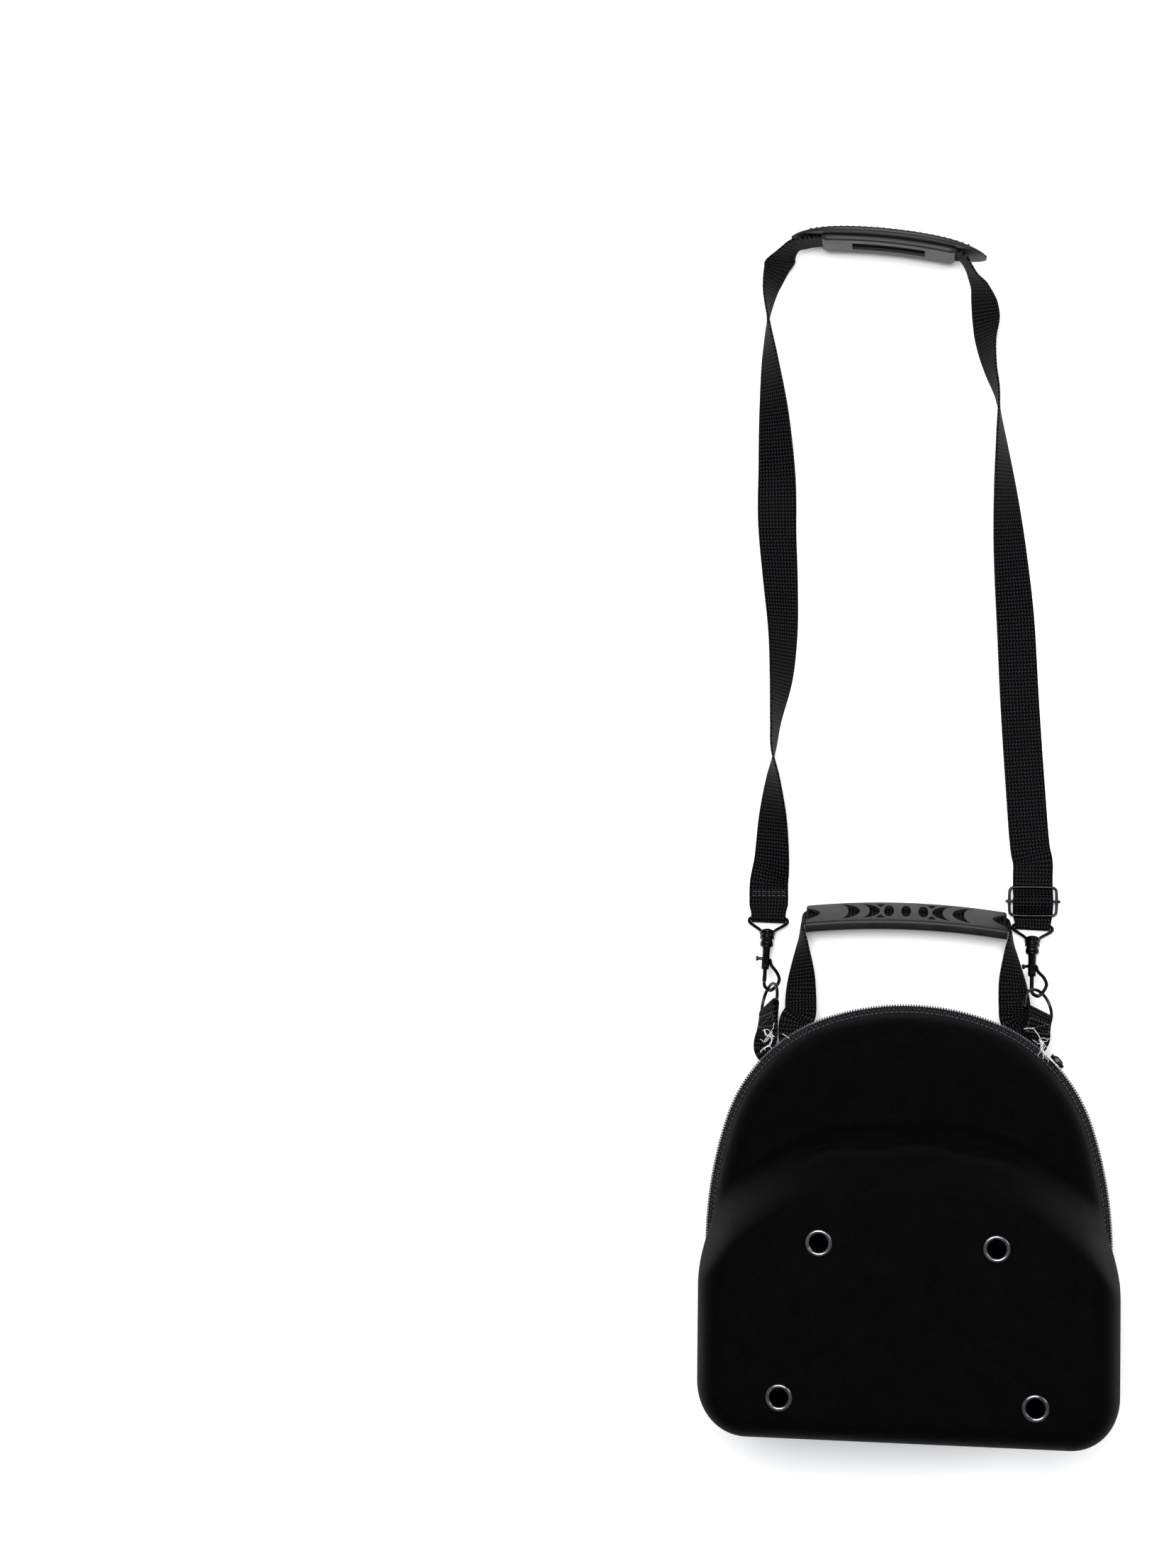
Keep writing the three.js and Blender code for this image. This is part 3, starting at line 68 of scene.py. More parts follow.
# The photograph's frame in pixels, the pixel straight below the camera, and the lens
PHOTO = (1659, 2212)
BELOW_CAMERA = (1273, 1176)
CAMERA_PLACE = (-4.46, 232.5, 1500.0)
CAMERA_TURN = 0.0085
FOCAL_PIXELS = 3262.0

# Sizes of the case, the same as the frame's, in millimetres
GAP = 0.3
CASE_WIDTH, CASE_LENGTH, CORNER_RADIUS = 239.0, 243.0, 26.0
DOME_ARCS = ((1.213, 20.0), (0.795, 72.0))
BACK_RIM, ZIP_BAND, UPPER_FACE, FRONT_FACE, WALL = 44.0, 12.0, 84.0, 153.0, 4.0
FRONT_RIM = BACK_RIM + ZIP_BAND
CHAIN_HEIGHT = BACK_RIM + ZIP_BAND / 2
UPPER_EDGE_RADIUS, LOWER_EDGE_RADIUS, BACK_EDGE_RADIUS, LOWER_SWELL = 17.0, 26.0, 24.0, 6.0
HALF = CASE_WIDTH / 2
CASE_TOP = CASE_LENGTH / 2
STEP_TOP, STEP_RUN, STEP_DROP, STEP_CURVE = CASE_TOP - 59.0, 36.0, 60.0, 2.7
EYELETS = ((-50.7, -4.3, "upper_left"), (50.7, -4.3, "upper_right"),
           (-73.0, -94.0, "lower_left"), (73.0, -94.0, "lower_right"))
CHAIN_REACH = 5.0
EYELET_BORE, EYELET_WALL, EYELET_FLANGE = 5.25, 0.9, 8.0
HINGE_LENGTH, HINGE_THICKNESS = 150.0, 1.5
SLIDER_FROM_TOP = 94.5
STRAP_WIDTH, STRAP_THICKNESS = 25.0, 1.4
HANDLE_WIDTH, HANDLE_THICKNESS = 20.0, 1.4
TAB_WIDTH, TAB_THICKNESS = 20.0, 1.2
HANDLE_FROM_TOP = 73.5
TAB_SEAM_HEIGHT = BACK_RIM - GAP - TAB_THICKNESS - GAP / 2
HANDLE_SEAM_HEIGHT = TAB_SEAM_HEIGHT - TAB_THICKNESS - GAP * 1.5 - GAP - HANDLE_THICKNESS / 2
GRIP_LENGTH, GRIP_WIDTH, GRIP_THICKNESS, GRIP_ARCH, GRIP_LEAN = 127.0, 28.0, 7.0, 4.5, 66.0
GRIP_PLACE, GRIP_NOTCH = (-1.9, 176.0, -1.2), 9.0
PAD_LENGTH, PAD_WIDTH, PAD_THICKNESS, PAD_ARCH = 124.0, 50.0, 3.0, 5.0
PAD_PLACE = (-15.7, 604.5, -7.35)
SLEEVE_LENGTH, SLEEVE_WALL, SLEEVE_WINDOW = 84.0, 2.0, 46.0
RING_WIRE, HOOK_WIRE, BAIL_WIRE, FRAME_WIRE = 2.0, 2.2, 2.0, 1.8
RING_REACH, RING_SIDE = 16.0, 3.0
COLLAR_RADIUS, COLLAR_LENGTH, SWIVEL_RADIUS, SWIVEL_LENGTH = 4.9, 7.0, 4.2, 4.0
STEM_RADIUS, BARREL_RADIUS, BARREL_LENGTH = 1.4, 2.5, 15.0
BOLT_RADIUS, BOLT_LENGTH, BOLT_TRAVEL = 1.3, 17.6, 6.0
KNOB_RADIUS, KNOB_REACH, KNOB_FROM_BOLT_TOP = 1.0, 6.2, 1.1
EYE_LENGTH, EYE_BELLY, EYE_BOTTOM, BAIL_HEIGHT, BAIL_SQUEEZE = 15.5, 9.4, 4.2, 10.0, 0.88
ADJUSTER_WIDTH, ADJUSTER_LENGTH, ADJUSTER_HEIGHT, ADJUSTER_TO_BAIL = 31.0, 19.5, 4.6, 15.6
LOOP_HALF_WIDTH, LOOP_LENGTH = 80.0, 420.0
BARREL_TOP = COLLAR_LENGTH + GAP + SWIVEL_LENGTH
BARREL_END = BARREL_TOP + BARREL_LENGTH
HOOK_END = BARREL_END + EYE_LENGTH
RING_TO_HOOK = (RING_WIRE + HOOK_WIRE) / 2 + 1.7
FLAT_HEIGHT = STRAP_THICKNESS / 2
LAYER_STEP = STRAP_THICKNESS + GAP
FOLD_RADIUS = BAIL_WIRE / 2 + GAP + STRAP_THICKNESS / 2
BAIL_BAR_HEIGHT = FOLD_RADIUS + FLAT_HEIGHT + 0.05
BOLT_END = HOOK_END - 4.6 - HOOK_WIRE / 2 - GAP
BOLT_TOP = BOLT_END - BOLT_LENGTH

SIDES = {
    "left": {"from_top": -91.5, "bar": (-87.0, 122.0, 36.0), "stand": 67.0, "root": 0.7,
             "heading": 1.5, "roll": 0.0},
    "right": {"from_top": 77.3, "bar": (79.6, 122.0, 39.4), "stand": -45.0, "root": 0.92,
              "heading": 2.6, "roll": -20.0},
}

# Rows of the strap, as in the frame but for a little by its ends: x, y, stand in degrees, lift
LEFT_STRAP_ROWS = (
    (-1.1, 0.085, -158, 0), (-1.09, 0.155, -138, 0), (-1.087, 0.22, -110, 0), (-1.087, 0.26, -88, 0),
    (-1.07, 0.305, -78, 0), (-1.03, 0.37, -58, 0), (-1.02, 0.44, -45, 0), (-1.045, 0.52, -30, 0),
    (-1.075, 0.6, -14, 0), (-1.085, 0.69, 16, 0), (-1.11, 0.78, 40, 0), (-1.145, 0.865, 66, 0),
    (-1.16, 0.925, 88, 0), (-1.14, 0.968, 108, 0.05), (-1.09, 0.998, 120, 0.14), (-1.03, 1.013, 108, 0.29),
)
PAD_STRAP_ROWS = (
    (-0.97, 1.4, 0.1, 95), (-0.84, 0.5, 0.02, 91), (-0.66, 0, 0, 90), (-0.4, 0, 0, 90), (0, 0, 0, 90),
    (0.4, 0, 0, 90), (0.62, 0, 0, 90), (0.69, 0.1, 0, 90), (0.76, 0.8, 0.02, 90),
)
RIGHT_STRAP_ROWS = (
    (0.47, 0.978, 93, 0.3), (0.525, 0.962, 106, 0.18), (0.56, 0.94, 124, 0.09), (0.577, 0.914, 130, 0.03),
    (0.58, 0.88, 117, 0), (0.615, 0.84, 104, 0), (0.67, 0.8, 92, 0), (0.7, 0.74, 76, 0),
    (0.735, 0.66, 55, 0), (0.775, 0.57, 34, 0), (0.825, 0.46, 16, 0), (0.865, 0.33, 10, 0),
    (0.91, 0.21, 7, 0), (0.955, 0.11, 3, 0),
)

# The handle from its seam to the grip, as in the frame: along, aside, height, stand
HANDLE_ROWS = (
    (0.25, 0.03, 0.72, 2), (0.36, 0.1, 0.4, 8), (0.48, 0.2, 0.34, 22), (0.64, 0.35, 0.2, 44),
    (0.84, 0.5, 0.08, 70),
)
# Cut-outs in the grip: at, belly and back as shares of half its length, tall as a share of its width
GRIP_CUTS = ((0.66, -0.2, -0.09, 0.72), (0.46, -0.2, -0.1, 0.72), (0.17, 0.047, -0.047, 0.56))

# Frayed ends of pale thread over the zip by the tabs: thickness, then places in millimetres
ON_ZIP = 56.4
FRAYED = {
    "left": (
        (0.55, ((-88.7, 110.1, ON_ZIP), (-87.6, 107.3, ON_ZIP + 0.9), (-86.4, 104.9, ON_ZIP))),
        (0.7, ((-84.2, 107.7, ON_ZIP), (-85.0, 106.3, ON_ZIP + 1.2), (-84.0, 104.1, ON_ZIP + 0.4),
               (-85.7, 100.4, ON_ZIP), (-88.5, 98.1, ON_ZIP + 0.5), (-91.3, 96.1, 54.5))),
        (0.6, ((-84.8, 107.4, ON_ZIP), (-83.0, 106.0, ON_ZIP + 0.8), (-84.6, 104.4, ON_ZIP + 1.4),
               (-83.6, 103.3, ON_ZIP))),
        (0.45, ((-77.5, 107.3, ON_ZIP), (-75.5, 106.2, ON_ZIP + 0.3), (-73.3, 104.8, ON_ZIP - 0.2))),
        (0.3, ((-95.0, 89.6, 55.0), (-95.8, 88.2, 55.4), (-96.7, 86.8, 54.2))),
    ),
    "right": (
        (0.5, ((70.4, 113.7, 55.6), (73.2, 114.1, 56.6), (76.5, 113.3, 56.0))),
        (0.8, ((80.5, 107.2, ON_ZIP), (81.6, 105.0, ON_ZIP + 1.0), (80.4, 102.2, ON_ZIP + 0.5),
               (82.4, 99.4, ON_ZIP), (86.4, 95.1, ON_ZIP + 0.6), (91.2, 91.0, 54.4))),
        (0.65, ((80.0, 106.7, ON_ZIP), (82.2, 105.3, ON_ZIP + 1.2), (80.4, 103.6, ON_ZIP + 1.5),
                (81.8, 102.2, ON_ZIP))),
        (0.4, ((76.5, 113.3, 56.0), (78.8, 110.5, ON_ZIP + 0.8), (80.5, 107.2, ON_ZIP))),
    ),
}


# Small formulas

def mix(a, b, share):
    return a + (b - a) * share


def smooth(value):
    t = np.clip(value, 0.0, 1.0)
    return t * t * (3 - 2 * t)


def vec(*values):
    return np.array(values, dtype=float)


def unit(v):
    return v / np.maximum(np.linalg.norm(v, axis=-1, keepdims=True), 1e-9)


def ripple(x, y, length, seed):
    """Soft unevenness between -1 and 1: a sum of five plane waves of about one length, each
    with its own heading and phase from the seed."""
    turn = np.random.default_rng(seed)
    total = np.zeros(np.broadcast(x, y).shape)
    for _ in range(5):
        heading, phase, stretch = turn.uniform(0, 2 * np.pi, 2).tolist() + [turn.uniform(0.7, 1.4)]
        wave = 2 * np.pi / (length * stretch)
        total += np.sin(wave * (x * np.cos(heading) + y * np.sin(heading)) + phase)
    return total / 5


def spline(points, count, closed=False):
    """Places and directions along a centripetal Catmull-Rom curve through the points: on each
    span a cubic whose end slopes come from the neighbours, weighted by the root of the spans."""
    points = np.asarray(points, dtype=float)
    spans = len(points) if closed else len(points) - 1
    if closed:
        knots = np.vstack([points[-1], points, points[:2]])
    else:
        knots = np.vstack([2 * points[0] - points[1], points, 2 * points[-1] - points[-2]])
    t = np.linspace(0, spans, count, endpoint=not closed)
    i = np.minimum(t.astype(int), spans - 1)
    w = (t - i)[:, None]
    p0, p1, p2, p3 = (knots[i + k] for k in range(4))
    d0, d1, d2 = (np.sqrt(np.maximum(np.linalg.norm(b - a, axis=1), 1e-6))[:, None]
                  for a, b in ((p0, p1), (p1, p2), (p2, p3)))
    m1 = ((p1 - p0) / d0 - (p2 - p0) / (d0 + d1) + (p2 - p1) / d1) * d1
    m2 = ((p2 - p1) / d1 - (p3 - p1) / (d1 + d2) + (p3 - p2) / d2) * d1
    c2 = -3 * p1 + 3 * p2 - 2 * m1 - m2
    c3 = 2 * p1 - 2 * p2 + m1 + m2
    place = p1 + m1 * w + c2 * w ** 2 + c3 * w ** 3
    along = unit(m1 + 2 * c2 * w + 3 * c3 * w ** 2)
    return place, along


def even(values, count):
    """Values between rows, on a plain Catmull-Rom curve with half-slope tension."""
    values = np.asarray(values, dtype=float)
    knots = np.concatenate([[2 * values[0] - values[1]], values, [2 * values[-1] - values[-2]]])
    t = np.linspace(0, len(values) - 1, count)
    i = np.minimum(t.astype(int), len(values) - 2)
    w = t - i
    p0, p1, p2, p3 = (knots[i + k] for k in range(4))
    m1, m2 = (p2 - p0) / 2, (p3 - p1) / 2
    return p1 + m1 * w + (-3 * p1 + 3 * p2 - 2 * m1 - m2) * w ** 2 + (2 * p1 - 2 * p2 + m1 + m2) * w ** 3


# Meshes

def surface(grid, uv=None, wrap=True):
    """Quads over a grid of points. wrap joins the last column to the first. uv holds one
    column more than a wrapped grid, so that the cloth runs on over the join."""
    rows, columns = grid.shape[:2]
    across = columns if wrap else columns - 1
    i, j = np.meshgrid(np.arange(rows - 1), np.arange(across), indexing="ij")
    k = (j + 1) % columns
    quads = np.stack([i * columns + j, i * columns + k, (i + 1) * columns + k, (i + 1) * columns + j], -1)
    if uv is None:
        corner_uv = np.zeros((quads.size // 4, 4, 2))
    else:
        corner_uv = np.stack([uv[i, j], uv[i, j + 1], uv[i + 1, j + 1], uv[i + 1, j]], 2).reshape(-1, 4, 2)
    return grid.reshape(-1, 3), quads.reshape(-1, 4), corner_uv


def joined(*parts):
    """Several surfaces as one set of points, quads and cloth coordinates."""
    points, quads, corners = [], [], []
    start = 0
    for part_points, part_quads, part_uv in parts:
        points.append(part_points)
        quads.append(part_quads + start)
        corners.append(part_uv)
        start += len(part_points)
    return np.vstack(points), np.vstack(quads), np.vstack(corners)


def repeated(part, places, axes):
    """Copies of one small surface: point = place + x * first axis + y * second + z * third."""
    points, quads, corners = part
    moved = places[:, None, :] + np.einsum("vk,nkc->nvc", points, axes)
    steps = (np.arange(len(places)) * len(points))[:, None, None]
    return moved.reshape(-1, 3), (quads[None] + steps).reshape(-1, 4), np.tile(corners, (len(places), 1, 1))


def tidy(mesh):
    """Merges coincident points, drops collapsed faces and turns all faces outwards."""
    work = bmesh.new()
    work.from_mesh(mesh)
    bmesh.ops.remove_doubles(work, verts=work.verts, dist=2e-6)
    bmesh.ops.dissolve_degenerate(work, edges=work.edges, dist=1e-7)
    bmesh.ops.recalc_face_normals(work, faces=work.faces)
    work.to_mesh(mesh)
    work.free()


def make_mesh(name, part):
    points, quads, corners = part
    mesh = bpy.data.meshes.new(name)
    mesh.vertices.add(len(points))
    mesh.vertices.foreach_set("co", (points * MM).astype(np.float32).ravel())
    mesh.loops.add(quads.size)
    mesh.loops.foreach_set("vertex_index", quads.astype(np.int32).ravel())
    mesh.polygons.add(len(quads))
    mesh.polygons.foreach_set("loop_start", np.arange(0, quads.size, 4, dtype=np.int32))
    mesh.update(calc_edges=True)
    layer = mesh.uv_layers.new(name="cloth")
    layer.data.foreach_set("uv", corners.astype(np.float32).ravel())
    tidy(mesh)
    mesh.polygons.foreach_set("use_smooth", np.full(len(mesh.polygons), True))
    mesh.update()
    return mesh


def new_piece(name, part, material, stands_for=(), body=BODY):
    """One finished piece at the origin, riding on its body and standing for its CAD nodes."""
    piece = bpy.data.objects.new(name, make_mesh(name, part))
    bpy.context.scene.collection.objects.link(piece)
    piece.data.materials.append(material)
    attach(piece, body)
    if stands_for:
        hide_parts(*stands_for)
    return piece


def carve(piece, part):
    """Cuts a closed form out of a piece and keeps the result as the piece's mesh."""
    cutter = bpy.data.objects.new("cutter", make_mesh("cutter", part))
    bpy.context.scene.collection.objects.link(cutter)
    modifier = piece.modifiers.new("cut", "BOOLEAN")
    modifier.operation = "DIFFERENCE"
    modifier.solver = "EXACT"
    modifier.object = cutter
    bpy.context.view_layer.update()
    seen = piece.evaluated_get(bpy.context.evaluated_depsgraph_get())
    result = bpy.data.meshes.new_from_object(seen)
    piece.modifiers.remove(modifier)
    before = piece.data
    piece.data = result
    bpy.data.meshes.remove(before)
    bpy.data.objects.remove(cutter)
    bpy.context.view_layer.update()


# The case outline and its skins

def outline_pieces():
    """Arcs and lines from the top of the dome down the right side: each arc starts where the
    last ended, turned by the heading reached so far."""
    pieces, heading, start = [], 0.0, vec(0, CASE_TOP)

    def add_arc(radius, ends_at):
        nonlocal heading, start
        a, b = np.radians(heading), np.radians(ends_at)
        centre = start - radius * vec(np.sin(a), np.cos(a))
        pieces.append((radius * (b - a), radius, centre, a, None))
        heading, start = ends_at, centre + radius * vec(np.sin(b), np.cos(b))

    def add_line(end):
        nonlocal start
        pieces.append((float(np.linalg.norm(end - start)), 0.0, None, np.radians(heading), start))
        start = end

    for share, ends_at in DOME_ARCS:
        add_arc(share * HALF, ends_at)
    add_arc((HALF - start[0]) / (1 - np.sin(np.radians(heading))), 90.0)
    add_line(vec(HALF, -CASE_TOP + CORNER_RADIUS))
    add_arc(CORNER_RADIUS, 180.0)
    add_line(vec(0, -CASE_TOP))
    return pieces


OUTLINE = outline_pieces()
HALF_OUTLINE = sum(piece[0] for piece in OUTLINE)
ZIP_END = HALF_OUTLINE - HINGE_LENGTH / 2 - GAP


def rim(distance, offset=0.0):
    """Points and outward normals at a distance along the outline from the dome's top, moved
    out by an offset. Left of the top is the mirror image."""
    distance, offset = np.broadcast_arrays(np.asarray(distance, float), np.asarray(offset, float))
    side = np.where(distance < 0, -1.0, 1.0)
    left = np.minimum(np.abs(distance), HALF_OUTLINE)
    x, y, nx, ny = (np.zeros(distance.shape) for _ in range(4))
    start = 0.0
    for length, radius, centre, heading, begin in OUTLINE:
        here = (left >= start) & (left <= start + length + 1e-9)
        run = left - start
        angle = heading + run / radius if radius else np.full(distance.shape, heading)
        if radius:
            px, py = (centre[0] + (radius + offset) * np.sin(angle),
                      centre[1] + (radius + offset) * np.cos(angle))
        else:
            px = begin[0] + run * np.cos(angle) + offset * np.sin(angle)
            py = begin[1] - run * np.sin(angle) + offset * np.cos(angle)
        x, y = np.where(here, px, x), np.where(here, py, y)
        nx, ny = np.where(here, np.sin(angle), nx), np.where(here, np.cos(angle), ny)
        start += length
    return np.stack([x * side, y], -1), np.stack([nx * side, ny], -1)


def step_share(x, y):
    """How far down the arched step a place lies: 0 at its top edge, 1 at its foot."""
    return (STEP_TOP - STEP_DROP * np.abs(x / HALF) ** STEP_CURVE - y) / STEP_RUN


def front_height(x, y):
    """The front face: an S-curve from the upper face to the deep lower face, less the crease
    that the cloth makes a little way down the step, with a raised fold above and below it and
    small puckers between them. Each is a bell curve down the step, which wanders a little."""
    share = step_share(x, y)
    base = mix(UPPER_FACE, FRONT_FACE, smooth(share))
    across = smooth(3 * np.clip(1 - np.abs(x / HALF) / 0.62, 0, 1))
    wander = 0.06 * ripple(x, 0 * y, 46, 4)
    near = np.exp(-((share - 0.42 - wander) / 0.065) ** 2)
    lower = np.exp(-((share - 0.54 - 0.7 * wander) / 0.07) ** 2)
    upper = np.exp(-((share - 0.31 - 0.8 * wander) / 0.06) ** 2)
    puckers = ripple(x, y, 13, 9) * np.exp(-((share - 0.47) / 0.16) ** 2)
    return base - across * (4.4 * near - 1.8 * lower - 1.6 * upper) + 0.75 * across * puckers


def front_skin(around, wall, edge_rows, face_rows):
    """The front shell's skin. Up the rounded edge each point is a superellipse quarter from
    the rim to the face; over the face columns run straight in to one middle point."""
    angle = np.radians(np.linspace(0, 90, edge_rows))[:, None]
    base, _ = rim(around)
    lift = smooth(step_share(base[:, 0], base[:, 1]))[None]
    radius = mix(UPPER_EDGE_RADIUS, LOWER_EDGE_RADIUS, lift) - wall
    power = 2 / mix(2.2, 3.2, lift)
    height = np.sin(angle) ** power
    inset = radius * (1 - np.abs(np.cos(angle)) ** power)
    swell = LOWER_SWELL * lift * smooth(height / 0.35)
    spread = np.broadcast_to(around[None], height.shape)
    place, _ = rim(spread, swell - inset - wall)
    top = front_height(place[..., 0], place[..., 1] + wall * 0.8) - wall
    edge = np.concatenate([place, mix(FRONT_RIM, top, height)[..., None]], -1)
    middle = vec(0, STEP_TOP - STEP_RUN * 2.6)
    share = np.linspace(0, 1, face_rows + 1)[1:, None, None]
    flat = mix(edge[-1:, :, :2], middle, share)
    height = front_height(flat[..., 0], flat[..., 1] + wall * 0.8) - wall
    return np.concatenate([edge, np.concatenate([flat, height[..., None]], -1)])


def back_skin(around, wall, edge_rows, face_rows):
    """The back shell's skin: a superellipse edge from the rim down to a flat back."""
    angle = np.radians(np.linspace(0, 90, edge_rows))[:, None]
    power = 2 / 2.6
    height = np.sin(angle) ** power
    inset = (BACK_EDGE_RADIUS - wall) * (1 - np.abs(np.cos(angle)) ** power)
    spread = np.broadcast_to(around[None], (edge_rows, len(around)))
    place, _ = rim(spread, np.broadcast_to(-inset - wall, spread.shape))
    rise = np.broadcast_to(mix(BACK_RIM, wall, height), spread.shape)
    edge = np.concatenate([place, rise[..., None]], -1)
    share = np.linspace(0, 1, face_rows + 1)[1:, None, None]
    flat = mix(edge[-1:, :, :2], vec(0, 0), share)
    face = np.concatenate([flat, np.full(flat.shape[:-1] + (1,), wall)], -1)
    return np.concatenate([edge, face])


def unrolled(skin):
    """Cloth coordinates for a skin: each column is laid out flat from the middle by its own
    length, so the weave keeps its size over faces, step and edges."""
    steps = np.linalg.norm(np.diff(skin, axis=0), axis=-1)
    reach = np.concatenate([np.cumsum(steps[::-1], axis=0)[::-1], np.zeros((1, skin.shape[1]))])
    heading = unit(skin[0, :, :2] - skin[-1, :, :2])
    flat = heading[None] * reach[..., None]
    return np.concatenate([flat, flat[:, :1]], 1)


def shell(skin_of, wall_rows, inner_rows):
    """A shell of even thickness: the outer skin, the inner skin turned over, joined at the rim."""
    around = (np.arange(280) / 280 * 2 - 1) * HALF_OUTLINE
    outer = skin_of(around, 0.0, *wall_rows)
    inner = skin_of(around, WALL, *inner_rows)
    lip = mix(outer[0], inner[0], 0.5)[None]
    grid = np.concatenate([outer[::-1], lip, inner])
    return surface(grid, np.concatenate([unrolled(outer)[::-1], unrolled(outer)[:1], unrolled(inner)]))


# Wires, turned parts and webbing

def wire(points, diameter, plane, closed=False, count=96, sides=14):
    """A round wire along a flat curve: a circle carried along the spline, square to it. Open
    ends are rounded off with quarter circles."""
    place, along = spline(points, count, closed)
    side = unit(plane - np.sum(plane * along, 1, keepdims=True) * along)
    radius = np.full(len(place), diameter / 2)
    if not closed:
        bend = np.radians(vec(90, 60, 30))
        out = np.sin(bend)[:, None] * diameter / 2
        place = np.vstack([place[0] - along[0] * out, place, place[-1] + along[-1] * out[::-1]])
        along = np.vstack([np.repeat(along[:1], 3, 0), along, np.repeat(along[-1:], 3, 0)])
        side = np.vstack([np.repeat(side[:1], 3, 0), side, np.repeat(side[-1:], 3, 0)])
        cap = diameter / 2 * np.cos(bend)
        radius = np.concatenate([cap, radius, cap[::-1]])
    up = np.cross(along, side)
    angle = (np.arange(sides) / sides * 2 * np.pi)[None, :, None]
    grid = place[:, None] + radius[:, None, None] * (
        np.cos(angle) * side[:, None] + np.sin(angle) * up[:, None])
    if closed:
        grid = np.concatenate([grid, grid[:1]])
    return surface(grid)


def turned(rows, sides=36):
    """A turned part about Y: each row (radius, distance down) becomes a circle. The ends close
    on the axis."""
    rows = np.asarray(rows, dtype=float)
    angle = np.arange(sides) / sides * 2 * np.pi
    grid = np.stack([
        rows[:, :1] * np.cos(angle), np.repeat(-rows[:, 1:], sides, 1), rows[:, :1] * np.sin(angle)], -1)
    return surface(grid)


def moved(part, origin, axes=np.eye(3)):
    points, quads, corners = part
    return points @ np.asarray(axes) + origin, quads, corners


def length_along(points):
    """The distance run at each point of a line of points."""
    return np.concatenate([[0], np.cumsum(np.linalg.norm(np.diff(points, axis=0), axis=1))])


def drawn_shut(grid):
    """A grid with its first and last rows closed to their middles."""
    middle = grid.mean(1, keepdims=True)
    count = grid.shape[1]
    return np.concatenate([np.repeat(middle[:1], count, 1), grid, np.repeat(middle[-1:], count, 1)])


def bends(before, corners, after, radius, reach, count):
    """Corners rounded with quadratic curves of about one radius, which take up no more than
    reach of the way to the neighbours."""
    room = reach * np.minimum(np.linalg.norm(corners - before, axis=1),
                              np.linalg.norm(after - corners, axis=1))
    r = np.minimum(radius, room)[:, None]
    a, b = corners + unit(before - corners) * r, corners + unit(after - corners) * r
    t = np.linspace(0, 1, count)[None, :, None]
    curve = (1 - t) ** 2 * a[:, None] + 2 * t * (1 - t) * corners[:, None] + t ** 2 * b[:, None]
    return curve.reshape(-1, 2)


def stations(place, along, stand, width):
    """Frames along webbing: across starts level and to the right of the run and is turned up
    by the stand; off is square to both."""
    stand = np.radians(stand)[:, None]
    level = unit(np.stack([along[:, 1], -along[:, 0], 0 * along[:, 0]], -1))
    across = level * np.cos(stand) + vec(0, 0, 1) * np.sin(stand)
    across = unit(across - np.sum(across * along, 1, keepdims=True) * along)
    return {"place": place, "across": across, "off": unit(np.cross(across, along)),
            "width": np.broadcast_to(width, (len(place),)).astype(float)}


def route(rows, count):
    """Stations along rows of (place, stand, width share)."""
    place, along = spline([row[0] for row in rows], count)
    run = stations(place, along, even([row[1] for row in rows], count),
                   even([row[2] for row in rows], count))
    run["along"] = along
    return run


def chain(*runs):
    return {key: np.concatenate([run[key] for run in runs]) for key in ("place", "across", "off", "width")}


def part_of(run, choose):
    return {key: value[choose] for key, value in run.items()}


def fold_round(bar, along, across, radius, width, count=18):
    """Half a turn of webbing round a bar, from its under side to its upper side."""
    off = unit(np.cross(across, along))
    angle = np.radians(np.linspace(-90, 90, count))[:, None]
    out = along * np.cos(angle) + off * np.sin(angle)
    return {"place": bar + out * radius, "across": np.tile(across, (count, 1)), "off": out,
            "width": np.full(count, float(width))}


def backwards(run):
    return {key: value[::-1] for key, value in run.items()}


def flat_run(places, off, widths):
    """Webbing that lies in line with Y through the places, eased between them."""
    places = np.asarray(places, float)
    count = 6 * len(places)
    place, _ = spline(places, count)
    width = np.interp(np.linspace(0, 1, count), np.linspace(0, 1, len(widths)), widths)
    return {"place": place, "across": np.tile(vec(-1, 0, 0), (count, 1)),
            "off": np.tile(vec(0, 0, off), (count, 1)), "width": width}


def webbing(run, width, thickness):
    """Webbing: a flat section with rounded selvedges carried along the stations. The section's
    half thickness is even to near the edge and then falls as a quarter circle; the last rows
    draw the ends shut. Cloth coordinates run across and along in millimetres."""
    half, edge = width / 2, thickness / 2
    bend = edge * (1 - np.sin(np.radians(np.linspace(90, 0, 5))))
    u = np.concatenate([half - bend, np.linspace(half - edge, edge - half, 13)[1:-1], bend[::-1] - half])
    edge_fall = np.clip((half - np.abs(u)) / edge, 0, 1)
    h = edge * np.sqrt(np.clip(1 - (1 - edge_fall) ** 2, 0, 1))
    section = np.concatenate([np.stack([u, h], -1), np.stack([u[::-1], -h[::-1]], -1)[1:-1]])
    place, across, off, share = run["place"], run["across"], run["off"], run["width"]
    grid = (place[:, None] + section[None, :, :1] * across[:, None] * share[:, None, None]
            + section[None, :, 1:] * off[:, None])
    first = place[0] + section[:, :1] * across[0] * share[0]
    last = place[-1] + section[:, :1] * across[-1] * share[-1]
    grid = np.concatenate([first[None], grid, last[None]])
    length = length_along(place)
    length = np.concatenate([length[:1], length, length[-1:]])
    loop = np.concatenate([section[:, 0], section[:1, 0]])
    uv = np.stack(np.broadcast_arrays(loop[None], length[:, None]), -1)
    return surface(grid, uv)


# The clips: local X across, local Y from the ring to the strap, local Z up

